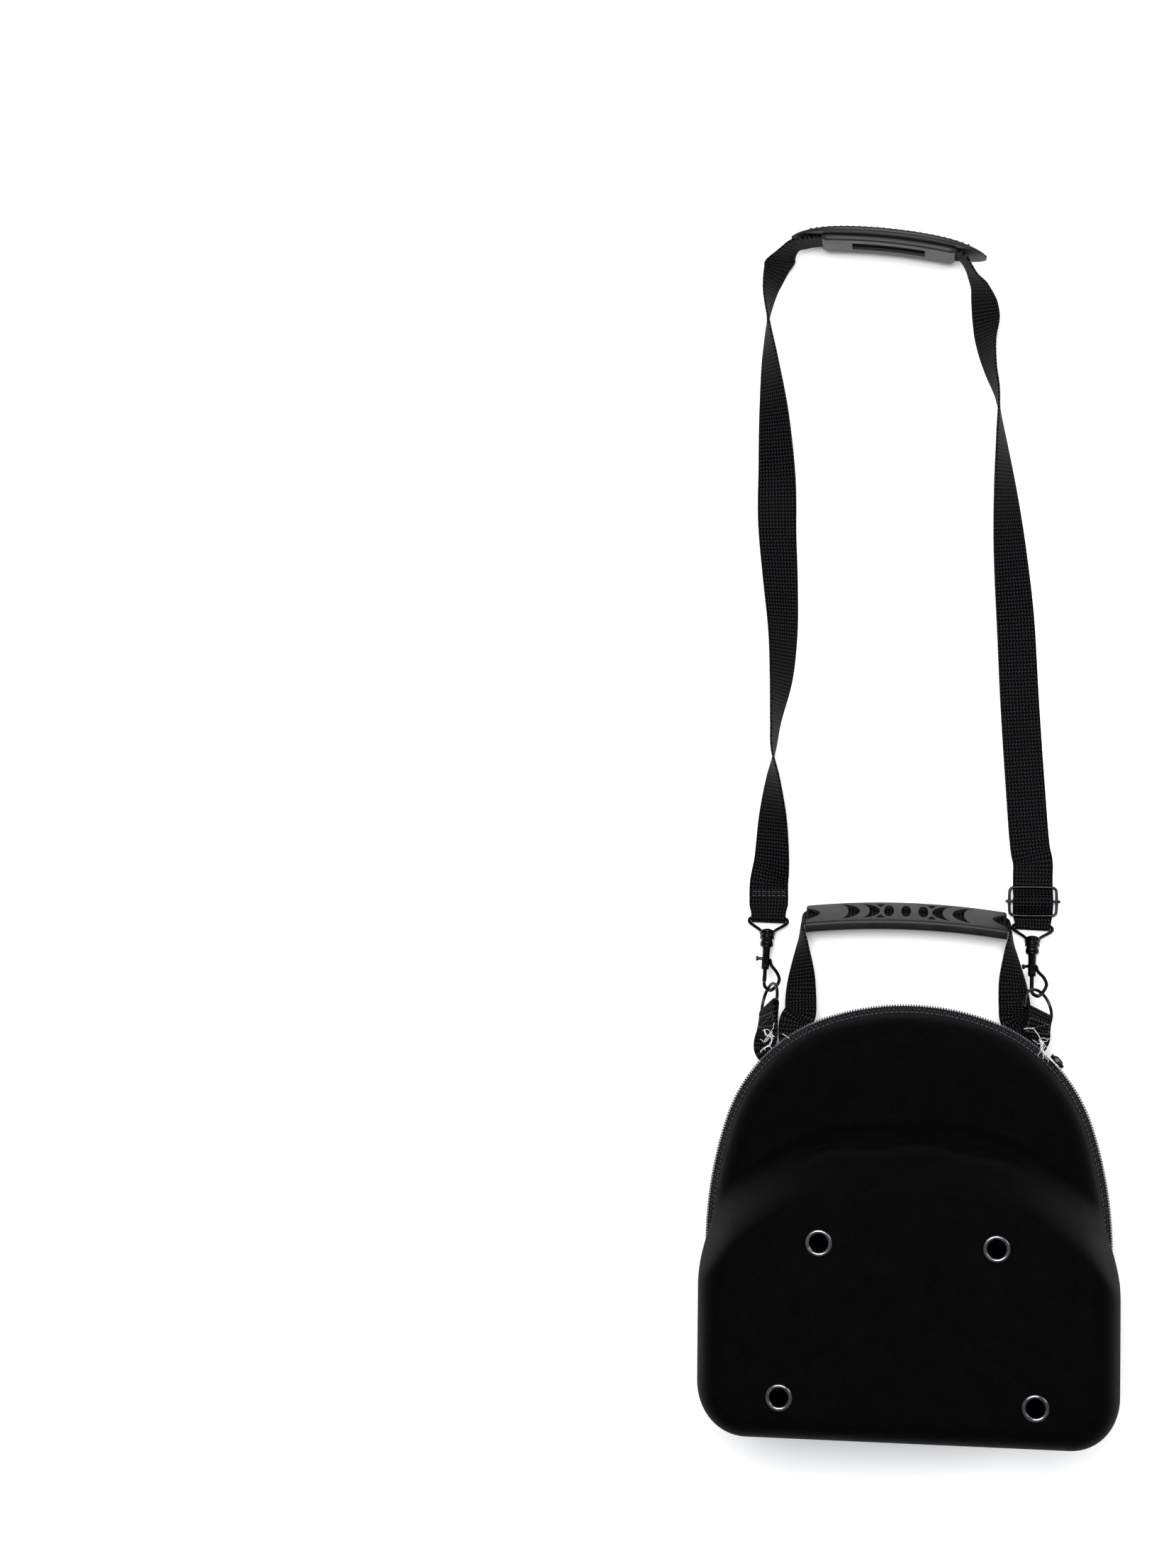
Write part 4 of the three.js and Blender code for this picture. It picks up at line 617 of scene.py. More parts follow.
def hook_axes(name):
    """The clip's three axes and its origin. The pull's slope is the one that brings the bail's
    bar down to the folded strap on the floor."""
    side = SIDES[name]
    heading, roll = np.radians(side["heading"]), np.radians(side["roll"])
    reach = RING_REACH + HOOK_END + BAIL_HEIGHT - RING_TO_HOOK
    lift = EYE_BOTTOM * np.sin(roll)
    slope = np.arcsin((side["bar"][2] - BAIL_BAR_HEIGHT) / np.hypot(reach, lift)) + np.arctan2(lift, reach)
    along = vec(np.sin(heading) * np.cos(slope), np.cos(heading) * np.cos(slope), -np.sin(slope))
    across = vec(np.cos(heading), -np.sin(heading), 0)
    up = np.cross(across, along)
    origin = vec(*side["bar"]) + along * (RING_REACH + HOOK_END - RING_TO_HOOK)
    origin = origin - across * EYE_BOTTOM * np.cos(roll) + up * EYE_BOTTOM * np.sin(roll)
    return origin, np.array([across, along, up])


def rolled(axes, roll):
    """The clip's axes after its hook is turned in the collar."""
    a = np.radians(roll)
    across, along, up = axes
    return np.array([across * np.cos(a) - up * np.sin(a), along, across * np.sin(a) + up * np.cos(a)])


def bail_bar(name):
    origin, axes = hook_axes(name)
    return origin + axes[1] * BAIL_HEIGHT


def bail_fold(name):
    heading = np.radians(SIDES[name]["heading"])
    pull = vec(-np.sin(heading), -np.cos(heading), 0)
    across = vec(-np.cos(heading), np.sin(heading), 0)
    return backwards(fold_round(bail_bar(name), pull, across, FOLD_RADIUS, BAIL_SQUEEZE))


# The strap's route

def resting(stand):
    a = np.radians(stand)
    return STRAP_WIDTH / 2 * abs(np.sin(a)) + FLAT_HEIGHT * abs(np.cos(a)) + 0.02


def arch_frame(place, arch, length, height, lean):
    """Places on a shallow arch: share of half the length, u across the width, v off the face."""
    turn = np.radians(place[2])
    along = vec(np.cos(turn), np.sin(turn), 0)
    out = vec(-along[1], along[0], 0)
    across = out * -np.cos(np.radians(lean))
    across[2] = np.sin(np.radians(lean))
    off = unit(np.cross(across, along))

    def at(share, u, v):
        share, u, v = (np.asarray(value, float)[..., None] for value in (share, u, v))
        return (vec(place[0], place[1], height) + along * share * length / 2
                + off * (arch * (1 - share ** 2) + v) + across * u)
    return at


def grip_frame():
    rise = np.sin(np.radians(GRIP_LEAN)) * GRIP_WIDTH / 2
    thick = np.cos(np.radians(GRIP_LEAN)) * GRIP_THICKNESS / 2
    return arch_frame(GRIP_PLACE, GRIP_ARCH, GRIP_LENGTH, rise + thick + 0.2, GRIP_LEAN)


def pad_frame():
    return arch_frame(PAD_PLACE, PAD_ARCH, PAD_LENGTH, PAD_WIDTH / 2 + 0.1, 90)


SLEEVE_OFFSET = PAD_THICKNESS / 2 + GAP + STRAP_THICKNESS / 2


def adjuster_place():
    return bail_bar("right") * vec(1, 1, 0) + vec(0, ADJUSTER_TO_BAIL, ADJUSTER_HEIGHT)


def left_strap_end():
    bar = bail_bar("left")
    rest, top = FLAT_HEIGHT + LAYER_STEP + 0.04, bar[2] + FOLD_RADIUS
    rows = [bar * vec(1, 1, 0) + vec(0, dy, z)
            for dy, z in ((20, rest), (9, rest), (4.5, mix(rest, top, 0.6)), (0.6, top))]
    return chain(flat_run(rows, 1, [1, 1, mix(1, BAIL_SQUEEZE, 0.8), BAIL_SQUEEZE]), bail_fold("left"))


def right_strap_end():
    spot = adjuster_place()
    end = (ADJUSTER_LENGTH - FRAME_WIRE) / 2
    under = spot[2] - FRAME_WIRE / 2 - 2 * GAP - FLAT_HEIGHT
    wrap = FRAME_WIRE / 2 + GAP + FLAT_HEIGHT
    over = spot[2] + wrap + LAYER_STEP
    hidden = under - LAYER_STEP
    ground = spot * vec(1, 1, 0)
    top = [(end + 6, FLAT_HEIGHT + 0.2), (end + 2, under - 0.5), (end, under), (end - 1.6, under + 0.7),
           (end - 4, over - 2.2), (3, over - 0.6), (0, over), (-3, over - 0.6), (4 - end, over - 2.2),
           (1.6 - end, under + 0.7), (-end, under), (-end - 2, under + 0.3)]
    back = [(-end - 2, hidden), (-end + 1, hidden), (-4, mix(hidden, spot[2] - wrap, 0.6)),
            (-0.6, spot[2] - wrap)]
    upper = flat_run([ground + vec(0, dy, z) for dy, z in top], 1, [1] * 11 + [0.96])
    lower = flat_run([ground + vec(0, dy, z) for dy, z in back], -1, [0.96, 1, 1, 1])
    tail = backwards(fold_round(spot, vec(0, 1, 0), vec(-1, 0, 0), wrap, 1))
    return chain(upper, bail_fold("right"), lower, tail), ground + vec(0, end + 6, FLAT_HEIGHT + 0.2)


def strap_run():
    """The whole strap: its folded left end, the free webbing laid on the floor and through
    the pad, and the right end woven through the adjuster."""
    left = bail_bar("left")
    end, joint = right_strap_end()
    flat = lambda bar, dy: bar * vec(1, 1, 0) + vec(0, dy, FLAT_HEIGHT + 0.02)
    loop = lambda row: (vec(row[0] * LOOP_HALF_WIDTH, left[1] + row[1] * LOOP_LENGTH,
                            resting(row[2]) + row[3] * STRAP_WIDTH), row[2], 1.0)
    at = pad_frame()
    rows = [(flat(left, 4), -180, BAIL_SQUEEZE), (flat(left, 12), -180, 1.0), (flat(left, 22), -176, 1.0)]
    rows += [loop(row) for row in LEFT_STRAP_ROWS]
    rows += [(at(s, -sink * STRAP_WIDTH, -SLEEVE_OFFSET - clear * STRAP_THICKNESS), stand, 1.0)
             for s, clear, sink, stand in PAD_STRAP_ROWS]
    rows += [loop(row) for row in RIGHT_STRAP_ROWS]
    rows += [(flat(joint, 10), 0, 1.0), (joint, 0, 1.0)]
    free = route(rows, 620)
    low = (np.abs(free["across"][:, 2]) * STRAP_WIDTH / 2 + np.abs(free["off"][:, 2]) * FLAT_HEIGHT + 0.02)
    free["place"][:, 2] = np.maximum(free["place"][:, 2], low)
    return chain(left_strap_end(), part_of(free, slice(0, -4)), end)


def tab_run(name):
    """One tab: up from the seam, round the ring's bar and back down on itself."""
    side = SIDES[name]
    axes = hook_axes(name)[1]
    at = lambda offset, z: np.append(rim(side["from_top"], offset)[0], z)
    bar = vec(*side["bar"])
    outer = at(CHAIN_REACH + 2, TAB_SEAM_HEIGHT + 0.9)
    stand = side["stand"]
    root = side["root"]
    rows = [(at(GAP - WALL, TAB_SEAM_HEIGHT), 0, root), (at(0.5, TAB_SEAM_HEIGHT), 0, root),
            (outer, stand * 0.18, root),
            (mix(bar - axes[1] * 9, outer, 0.36), stand * 0.66, mix(root, 1, 0.5)),
            (bar - axes[1] * 4, stand * 0.94, 1.0), (bar, stand, 1.0)]
    middle = route(rows, 60)
    end = stations(bar[None], axes[1][None], vec(stand), 1.0)
    radius = RING_WIRE / 2 + GAP + TAB_THICKNESS / 2
    near = (TAB_THICKNESS + GAP) / 2
    share = np.arange(59) / 58
    spread = mix(near, radius, smooth((share - 0.6) / 0.4))[:, None]
    middle = part_of(middle, slice(0, 59))
    lower, upper = dict(middle), dict(middle)
    lower["place"], lower["off"] = middle["place"] - middle["off"] * spread, -middle["off"]
    upper["place"] = middle["place"] + middle["off"] * spread
    fold = fold_round(bar, axes[1], end["across"][0], radius, 1)
    return chain(lower, fold, backwards(upper)), upper


# Materials

def linear(code):
    """A #rrggbb colour as linear RGB with alpha."""
    values = np.array([int(code[i:i + 2], 16) for i in (1, 3, 5)]) / 255
    low = values <= 0.04045
    return (*np.where(low, values / 12.92, ((values + 0.055) / 1.055) ** 2.4).tolist(), 1.0)


def add_node(tree, kind, settings, made):
    """Adds one node. A second word in kind is its operation. A socket's setting is a value, or
    the label of the node that feeds it with the output's name after a dot; stops are a colour
    ramp's; any other setting is the node's own."""
    kind, _, operation = kind.partition(" ")
    node = tree.nodes.new("ShaderNode" + kind)
    if operation:
        node.operation = operation
    for key, value in settings.items():
        if key == "stops":
            for element, (position, colour) in zip(node.color_ramp.elements, value):
                element.position, element.color = position, colour
        elif isinstance(key, str) and key not in node.inputs:
            setattr(node, key, value)
        elif isinstance(value, str):
            label, _, output = value.partition(".")
            tree.links.new(made[label].outputs[output or 0], node.inputs[key])
        else:
            node.inputs[key].default_value = value
    return node


def make_material(name, *rows):
    """A material from rows of label, kind of node and settings. The row named shader is its surface."""
    material = bpy.data.materials.new(name)
    material.use_nodes = True
    material.node_tree.nodes.clear()
    made = {}
    for label, kind, settings in (*rows, ("end", "OutputMaterial", {"Surface": "shader"})):
        made[label] = add_node(material.node_tree, kind, settings, made)
    return material


PLACE = ("place", "TexCoord", {})
CLOTH_MAP = (("map", "UVMap", {"uv_map": "cloth"}), ("axes", "SeparateXYZ", {"Vector": "map"}))


def shell_cloth():
    """Woven polyester bonded to moulded foam and hot pressed: a fine plain weave, nearly black,
    with a soft sheen along the rounded edges and faint unevenness from the press. Height is the
    sine across times the sine along, plus fuzz."""
    colours = bpy.context.scene.hat_bag_colours
    wave = 2 * np.pi * MM / bpy.context.scene.hat_bag_sizes.shell_thread
    return make_material(
        "pressed_polyester_cloth", *CLOTH_MAP, PLACE,
        ("across", "Math MULTIPLY", {0: "axes.X", 1: wave}),
        ("along", "Math MULTIPLY", {0: "axes.Y", 1: wave}),
        ("warp", "Math SINE", {0: "across"}),
        ("weft", "Math SINE", {0: "along"}),
        ("weave", "Math MULTIPLY", {0: "warp", 1: "weft"}),
        ("soft", "TexNoise", {"Scale": 90.0, "Detail": 3.0, "Vector": "place.Object"}),
        ("fuzz", "TexNoise", {"Scale": 900.0, "Detail": 2.0, "Vector": "place.Object"}),
        ("threads", "Math MULTIPLY", {0: "weave", 1: 0.5}),
        ("height", "Math MULTIPLY_ADD", {0: "fuzz", 1: 0.8, 2: "threads"}),
        ("bump", "Bump", {"Strength": 0.45, "Distance": 0.00022, "Height": "height"}),
        ("press", "Math MULTIPLY", {0: "soft", 1: 0.4}),
        ("tone", "Math MULTIPLY_ADD", {0: "fuzz", 1: 0.6, 2: "press"}),
        # The colour follows the fuzz that also raises the bump: painted shade in the hollows and painted
        # highlight on the raised threads, with random unevenness from the press.
        ("base", "ValToRGB", {"Fac": "tone", "stops": (
            (0.3, tuple(colours.cloth_dark)), (0.75, tuple(colours.cloth_light)))}),
        ("rough", "Math MULTIPLY_ADD", {0: "soft", 1: 0.16, 2: 0.6}),
        ("shader", "BsdfPrincipled", {
            "IOR": 1.46, "Specular IOR Level": 0.012, "Sheen Weight": 0.05, "Sheen Roughness": 0.28,
            "Sheen Tint": linear("#8a8d92"), "Base Color": "base", "Roughness": "rough", "Normal": "bump"}))


def woven_tape(name, thread, dark, light, lean):
    """Woven polyester webbing: rows of small leaning flecks of painted highlight where the filaments turn
    over, with the webbing's near-black in the hollows between them. The lean changes side from one row to
    the next: a fleck is a sine across, pushed aside by a zigzag along, times the height of a sine along."""
    return make_material(
        name, *CLOTH_MAP,
        ("zigzag", "Math PINGPONG", {0: "axes.Y", 1: thread}),
        ("aside", "Math MULTIPLY_ADD", {0: "zigzag", 1: lean, 2: "axes.X"}),
        ("phase", "Math MULTIPLY", {0: "aside", 1: 2 * np.pi / (0.9 * thread)}),
        ("column", "Math SINE", {0: "phase"}),
        ("bright", "Math MULTIPLY_ADD", {0: "column", 1: 0.5, 2: 0.5}),
        ("along", "Math MULTIPLY", {0: "axes.Y", 1: np.pi / thread}),
        ("wave", "Math SINE", {0: "along"}),
        ("row", "Math ABSOLUTE", {0: "wave"}),
        ("knot", "Math MULTIPLY", {0: "bright", 1: "row"}),
        ("uneven", "TexNoise", {"Scale": 0.8, "Detail": 2.0, "Vector": "map"}),
        ("share", "Math ADD", {0: "uneven", 1: 0.5}),
        ("tone", "Math MULTIPLY", {0: "knot", 1: "share"}),
        # The base colour is painted lighter on the raised knots as painted highlight, with random
        # unevenness; the hollows keep the near-black.
        ("base", "ValToRGB", {"Fac": "tone", "stops": ((0.35, linear(dark)), (0.95, linear(light)))}),
        ("bump", "Bump", {"Strength": 0.7, "Distance": 0.0003, "Height": "knot"}),
        ("rough", "Math MULTIPLY_ADD", {0: "uneven", 1: 0.2, 2: 0.48}),
        ("shader", "BsdfPrincipled", {
            "IOR": 1.48, "Specular IOR Level": 0.02, "Sheen Weight": 0.004, "Sheen Roughness": 0.5,
            "Base Color": "base", "Roughness": "rough", "Normal": "bump"}))


def even_finish(name, scale, stops, rough=(), grain=(), detail=2.0, **look):
    """A finish whose colour and roughness drift together. rough is the drift's share and the
    least roughness; grain is a second noise's scale and detail, and its bump's strength and
    depth; look holds the shader's even settings, with _ for a space."""
    rows = [("tone", "TexNoise", {"Scale": scale, "Detail": detail, "Vector": "place.Object"}),
            ("base", "ValToRGB", {"Fac": "tone", "stops": stops})]
    shader = {key.replace("_", " "): value for key, value in look.items()}
    shader["Base Color"] = "base"
    if rough:
        rows.append(("rough", "Math MULTIPLY_ADD", {0: "tone", 1: rough[0], 2: rough[1]}))
        shader["Roughness"] = "rough"
    if grain:
        rows += [("grain", "TexNoise", {"Scale": grain[0], "Detail": grain[1], "Vector": "place.Object"}),
                 ("bump", "Bump", {"Strength": grain[2], "Distance": grain[3], "Height": "grain"})]
        shader["Normal"] = "bump"
    return make_material(name, PLACE, *rows, ("shader", "BsdfPrincipled", shader))


def black_nickel(name, dark, light):
    """Die-cast zinc or rolled brass plated in black nickel: dark, clear reflections, a little
    rubbed to brighter metal in fine patches. Its two copies differ only in painted lightness: the
    eyelets' copy is painted lighter as painted reflection, the copy for clips, slider and adjuster
    darker as painted shade."""
    return even_finish(name, 260.0, ((0.3, linear(dark)), (0.85, linear(light))), (0.08, 0.14),
                       (260.0, 2.0, 0.04, 0.00002), Metallic=1.0)


def moulded_rubber():
    """Injection-moulded soft rubber: even dark grey, matt, with the mould's fine spark texture."""
    colours = bpy.context.scene.hat_bag_colours
    return even_finish(
        "moulded_rubber", 120.0, ((0.3, tuple(colours.rubber_dark)), (0.7, tuple(colours.rubber_light))),
        (0.14, 0.42), (1600.0, 3.0, 0.25, 0.00012), IOR=1.52, Specular_IOR_Level=0.25)


def coil_nylon():
    """Nylon coil of the zip: dark monofilament with bright, narrow highlights. Its colour is painted
    grey, lighter than the dark nylon, as painted highlight.
    """
    return even_finish("nylon_coil", 260.0, ((0.3, linear("#3e3e42")), (0.7, linear("#6a6a6e"))),
                       (0.12, 0.24), IOR=1.53)


def sewing_thread(name, dark, light):
    """Spun polyester thread: soft, with plies that catch the light in turn."""
    return even_finish(name, 2400.0, ((0.35, linear(dark)), (0.65, linear(light))),
                       Roughness=0.7, Sheen_Weight=0.3)


def pale_floor():
    """A seamless white paper sweep: matt, with the faintest cloudiness."""
    return even_finish("white_paper_sweep", 2.0, ((0.2, linear("#f6f6f6")), (0.8, linear("#fbfbfb"))),
                       detail=1.0, Roughness=0.9)


# Thread spacings in millimetres: webbing 2.3, zip tape 1.3
MAKERS = {
    "cloth": shell_cloth,
    # The second colour of each tape is its painted highlight on the knots.
    "webbing": lambda: woven_tape("woven_webbing", 2.3, "#010101", "#28292b", 0.7),
    "tape": lambda: woven_tape("woven_zip_tape", 1.3, "#020202", "#3a3b3e", 0.8),
    # Two copies of one black nickel: this one is painted darker as painted shade, the eyelets' one lighter
    # as painted reflection.
    "metal": lambda: black_nickel("black_nickel_painted_darker", "#1d1d1f", "#2b2b2e"),
    "eyelet metal": lambda: black_nickel("black_nickel_painted_lighter", "#59595d", "#7b7b80"),
    "rubber": moulded_rubber,
    "coil": coil_nylon,
    "pale thread": lambda: sewing_thread("pale_thread", "#8f8f8f", "#e4e4e2"),
    "black thread": lambda: sewing_thread("black_thread", "#0c0c0d", "#26272a"),
    "floor": pale_floor,
}
MADE = {}


def finish_of(name):
    """The material of a finish, made the first time that it is asked for."""
    if name not in MADE:
        MADE[name] = MAKERS[name]()
    return MADE[name]


# The pieces

def bored(x, y, radius, low, high):
    """A closed upright cylinder, used to cut a hole."""
    rows = [(0.0, low), (radius, low), (radius, high), (0.0, high)]
    points, quads, corners = turned([(r, -z) for r, z in rows], 40)
    return np.stack([points[:, 0] + x, points[:, 2] + y, points[:, 1]], -1), quads, corners


def stitch_row(points, length=2.6, space=1.0, diameter=0.5, off=(0.03, 0.02, 1.0)):
    """Stitches along a line of points: small capsules, each sunk a little at both ends. A
    capsule is a circle swept along its length whose radius falls as a quarter circle. off is
    the direction off the cloth, for the whole line or for each point."""
    points = np.asarray(points, float)
    off = np.broadcast_to(np.asarray(off, float), points.shape)
    run = length_along(points)
    starts = np.arange(space * 0.5, run[-1] - length, length + space)
    at = lambda s, values: np.stack([np.interp(s, run, values[:, k]) for k in range(3)], -1)
    first, last = at(starts, points), at(starts + length, points)
    along = unit(last - first)
    side = unit(np.cross(along, at(starts + length / 2, off)))
    up = np.cross(side, along)
    t = vec(-0.5, -0.46, -0.3, 0, 0.3, 0.46, 0.5)[:, None]
    angle = (np.arange(6) / 6 * 2 * np.pi)[None]
    radius = diameter / 2 * np.sqrt(np.clip(1 - (2 * t) ** 4, 0, 1)) + 0 * angle
    capsule = np.stack([t * length + 0 * angle, radius * np.cos(angle),
                        radius * np.sin(angle) - 0.9 * diameter * t ** 2], -1)
    axes = np.stack([along, side, up], 1)
    return repeated(surface(capsule), (first + last) / 2, axes)


def make_shells():
    front = new_piece("front_shell_cloth", shell(front_skin, (22, 124), (12, 34)), finish_of("cloth"),
                      ["front_shell"])
    for x, y, _ in EYELETS:
        carve(front, bored(x, y, EYELET_BORE + EYELET_WALL + GAP, 130, 170))
    new_piece("back_shell_cloth", shell(back_skin, (20, 16), (12, 10)), finish_of("cloth"),
              ["back_shell"])


def rim_band(from_distance, to_distance, section, count=360):
    """A section of (offset, height) carried along the rim. Both ends are drawn shut."""
    distance = np.linspace(from_distance, to_distance, count)
    section = np.asarray(section, float)
    place, _ = rim(distance[:, None], section[None, :, 0])
    grid = np.concatenate([place, np.broadcast_to(section[:, 1], place.shape[:2])[..., None]], -1)
    loop = length_along(np.vstack([section, section[:1]]))
    run = np.concatenate([distance[:1], distance, distance[-1:]])
    return surface(drawn_shut(grid), np.stack(np.broadcast_arrays(loop[None], run[:, None]), -1))


def rounded(points, radius, count=4):
    """A closed outline with rounded corners."""
    points = np.asarray(points, float)
    return bends(np.roll(points, 1, 0), points, np.roll(points, -1, 0), radius, 0.45, count)


def zip_teeth():
    """Two rows of coil turns. Each is a capsule that stands across the tape; the inner row is
    set back by half a pitch."""
    pitch = bpy.context.scene.hat_bag_sizes.tooth_pitch / MM
    t = vec(-1, -0.93, -0.6, 0, 0.6, 0.93, 1)[:, None]
    angle = (np.arange(8) / 8 * 2 * np.pi)[None]
    rows = []
    for offset, radius, half, shift in ((4.75, 0.62, 2.2, 0.0), (3.3, 0.55, 2.45, 0.5)):
        count = int(2 * ZIP_END / pitch) - 2
        distance = -ZIP_END + pitch * (np.arange(count) + 1 + shift)
        place, normal = rim(distance, offset)
        round_off = np.sqrt(np.clip(1 - np.abs(t) ** 5, 0, 1))
        tooth = np.stack([radius * round_off * np.cos(angle), radius * round_off * np.sin(angle),
                          half * t + 0 * angle], -1)
        along = np.stack([normal[:, 1], -normal[:, 0]], -1)
        axes = np.stack([np.pad(normal, ((0, 0), (0, 1))), np.pad(along, ((0, 0), (0, 1))),
                         np.tile(vec(0, 0, 1), (count, 1))], 1)
        places = np.concatenate([place, np.full((count, 1), CHAIN_HEIGHT)], 1)
        rows.append(repeated(surface(tooth), places, axes))
    cord = rim_band(-ZIP_END, ZIP_END, rounded([(2.4, 48.9), (4.2, 49.3), (4.2, 50.7), (2.4, 51.1)], 0.5))
    return joined(*rows, cord)


def make_zip():
    tape = finish_of("tape")
    for name, up in (("front", 1.0), ("back", -1.0)):
        edge = FRONT_RIM if up > 0 else BACK_RIM
        z = lambda rise: CHAIN_HEIGHT + up * rise
        seat = abs(edge - CHAIN_HEIGHT) - GAP
        band = rounded([(0.1, z(seat)), (1.2, z(seat - 0.3)), (4.1, z(2.9)), (4.1, z(2.6)), (2.8, z(2.6)),
                        (-0.6, z(seat - 1.3)), (-3.6, z(seat - 1.3)), (-3.6, z(seat))], 0.5)
        new_piece(f"zip_{name}_weave", rim_band(-ZIP_END, ZIP_END, band), tape,
                  [f"zip_{name}_tape"])
        line = np.linspace(-ZIP_END + 2, ZIP_END - 2, 900)
        for index, (offset, rise) in enumerate(((1.0, seat - 0.12), (2.5, seat - 1.55))):
            place, _ = rim(line, offset)
            row = stitch_row(np.column_stack([place, np.full(len(line), z(rise))]), 2.2, 0.9, 0.42)
            new_piece(f"zip_{name}_stitches_{index}", row, finish_of("black thread"))
    new_piece("zip_coil", zip_teeth(), finish_of("coil"), ["zip_chain"])
    make_slider()
    make_hinge()


def plate(outline, thickness, bevel=0.3):
    """A flat plate from a closed outline in X and Y: rings that come in by the bevel at the top
    and bottom, closed to the middle. Without a bevel it is a plain box."""
    outline = np.asarray(outline, float)
    centre = outline.mean(0)
    inward = unit(centre - outline)
    half = thickness / 2
    rings = [(None, -half), (bevel, -half), (0.3 * bevel, -half + 0.3 * bevel), (0, -half + bevel),
             (0, half - bevel), (0.3 * bevel, half - 0.3 * bevel), (bevel, half), (None, half)]
    if not bevel:
        rings = [(None, -half), (0, -half), (0, half), (None, half)]
    grid = [np.column_stack([np.tile(centre, (len(outline), 1)) if r is None else outline + inward * r,
                             np.full(len(outline), z)]) for r, z in rings]
    return surface(np.stack(grid))


def make_slider():
    """A wedge-nosed slider body on the coil with a bridge, and a pull that hangs against the
    back shell. Body outline: a rounded rectangle that narrows to the tail."""
    place, normal = rim(SLIDER_FROM_TOP, 5.0 + GAP + 1.3)
    axes = np.array([vec(normal[1], -normal[0], 0), vec(0, 0, 1), vec(normal[0], normal[1], 0)])
    origin = vec(place[0], place[1], CHAIN_HEIGHT)
    body = plate(rounded([(-5, -2.6), (-1, -4), (3.6, -4), (5, -2.4), (5, 2.4), (3.6, 4), (-1, 4),
                          (-5, 2.6)], 1.4, 6), 2.4, 0.5)
    bridge = wire([(-3.2, 0, 0.6), (-2.6, 0, 1.5), (0, 0, 1.9), (2.6, 0, 1.5), (3.2, 0, 0.6)], 1.1,
                  vec(0, 1, 0), count=24, sides=10)
    pull = plate(rounded([(-2, -1), (2, -1), (2.6, -9), (3, -23), (1.8, -24), (-1.8, -24), (-3, -23),
                          (-2.6, -9)], 1.2, 5), 1.1, 0.35)
    pull = moved(pull, vec(0, 0, 0.5))
    new_piece("zip_slider_cast", joined(*(moved(part, origin, axes) for part in (body, bridge, pull))),
              finish_of("metal"), ["zip_slider"])


def make_hinge():
    """The cloth hinge: a strip along the bottom, bowed out between the two rims."""
    rise = np.linspace(-1, 1, 15)[:, None]
    x = np.linspace(-HINGE_LENGTH / 2, HINGE_LENGTH / 2, 120)[None]
    z = CHAIN_HEIGHT + rise * (ZIP_BAND / 2 - GAP) + 0 * x
    out = HINGE_THICKNESS * (1 - rise ** 2) + 0.12 * ripple(x, z, 18, 3)
    outer = np.stack([x + 0 * z, -CASE_TOP - out, z], -1)
    inner = outer + vec(0, HINGE_THICKNESS - 0.1, 0)
    grid = np.concatenate([outer, inner[::-1]]).transpose(1, 0, 2)
    loop = np.concatenate([length_along(grid[1]), [30.0]])
    run = np.concatenate([x[0, :1], x[0], x[0, -1:]])
    strip = surface(drawn_shut(grid), np.stack(np.broadcast_arrays(loop[None], run[:, None]), -1))
    new_piece("bottom_hinge_weave", strip, finish_of("tape"), ["bottom_hinge"])
    for index, z in enumerate((CHAIN_HEIGHT - 4.4, CHAIN_HEIGHT + 4.4)):
        line = np.column_stack([np.linspace(-73, 73, 60), np.full(60, -CASE_TOP - 0.75), np.full(60, z)])
        new_piece(f"hinge_stitches_{index}", stitch_row(line, 2.4, 1.0, 0.45, (0, -1, 0)),
                  finish_of("black thread"))


def make_eyelets():
    """Rolled eyelets: one turned profile, from the washer inside, up the barrel and over the
    domed flange."""
    under, barrel = WALL + GAP, EYELET_BORE + EYELET_WALL
    washer = [(6.8, under), (6.8, under + 0.8), (5.3, under + 0.8)]
    dome = [(mix(EYELET_BORE + 0.1, EYELET_FLANGE, (1 - np.cos(a)) / 2), -0.35 - 1.2 * np.sin(a))
            for a in np.radians(np.linspace(0, 180, 13))]
    rows = [washer[-1], (EYELET_BORE, 1.0), (EYELET_BORE, -0.2), *dome,
            (EYELET_FLANGE, -GAP), (barrel, -GAP), (barrel, under), *washer]
    points, quads, corners = turned(rows, 56)
    ring = np.stack([points[:, 0], points[:, 2], points[:, 1]], -1), quads, corners
    for x, y, name in EYELETS:
        new_piece(f"eyelet_{name}_rolled", moved(ring, vec(x, y, FRONT_FACE)),
                  finish_of("eyelet metal"), [f"eyelet_{name}"])


def on_face(run, points, rise):
    """Places on a webbing's face, from points (across, along) in millimetres, and the
    directions off the face there."""
    points = np.asarray(points, float)
    length = length_along(run["place"])
    read = lambda values: np.stack([np.interp(points[:, 1], length, values[:, k]) for k in range(3)], -1)
    off = read(run["off"])
    return read(run["place"]) + read(run["across"]) * points[:, :1] + off * rise, off


def traced(corners):
    """Points along straight lines between corners, about 1.2 mm apart."""
    corners = np.asarray(corners, float)
    run = length_along(corners)
    at = np.linspace(0, run[-1], max(int(run[-1] / 1.2), 2))
    return np.stack([np.interp(at, run, corners[:, k]) for k in range(corners.shape[1])], -1)


def seam_on(run, corners, thickness, length=2.3, space=0.8, diameter=0.5):
    places, off = on_face(run, traced(corners), thickness / 2 + diameter * 0.12)
    return stitch_row(places, length, space, diameter, off)


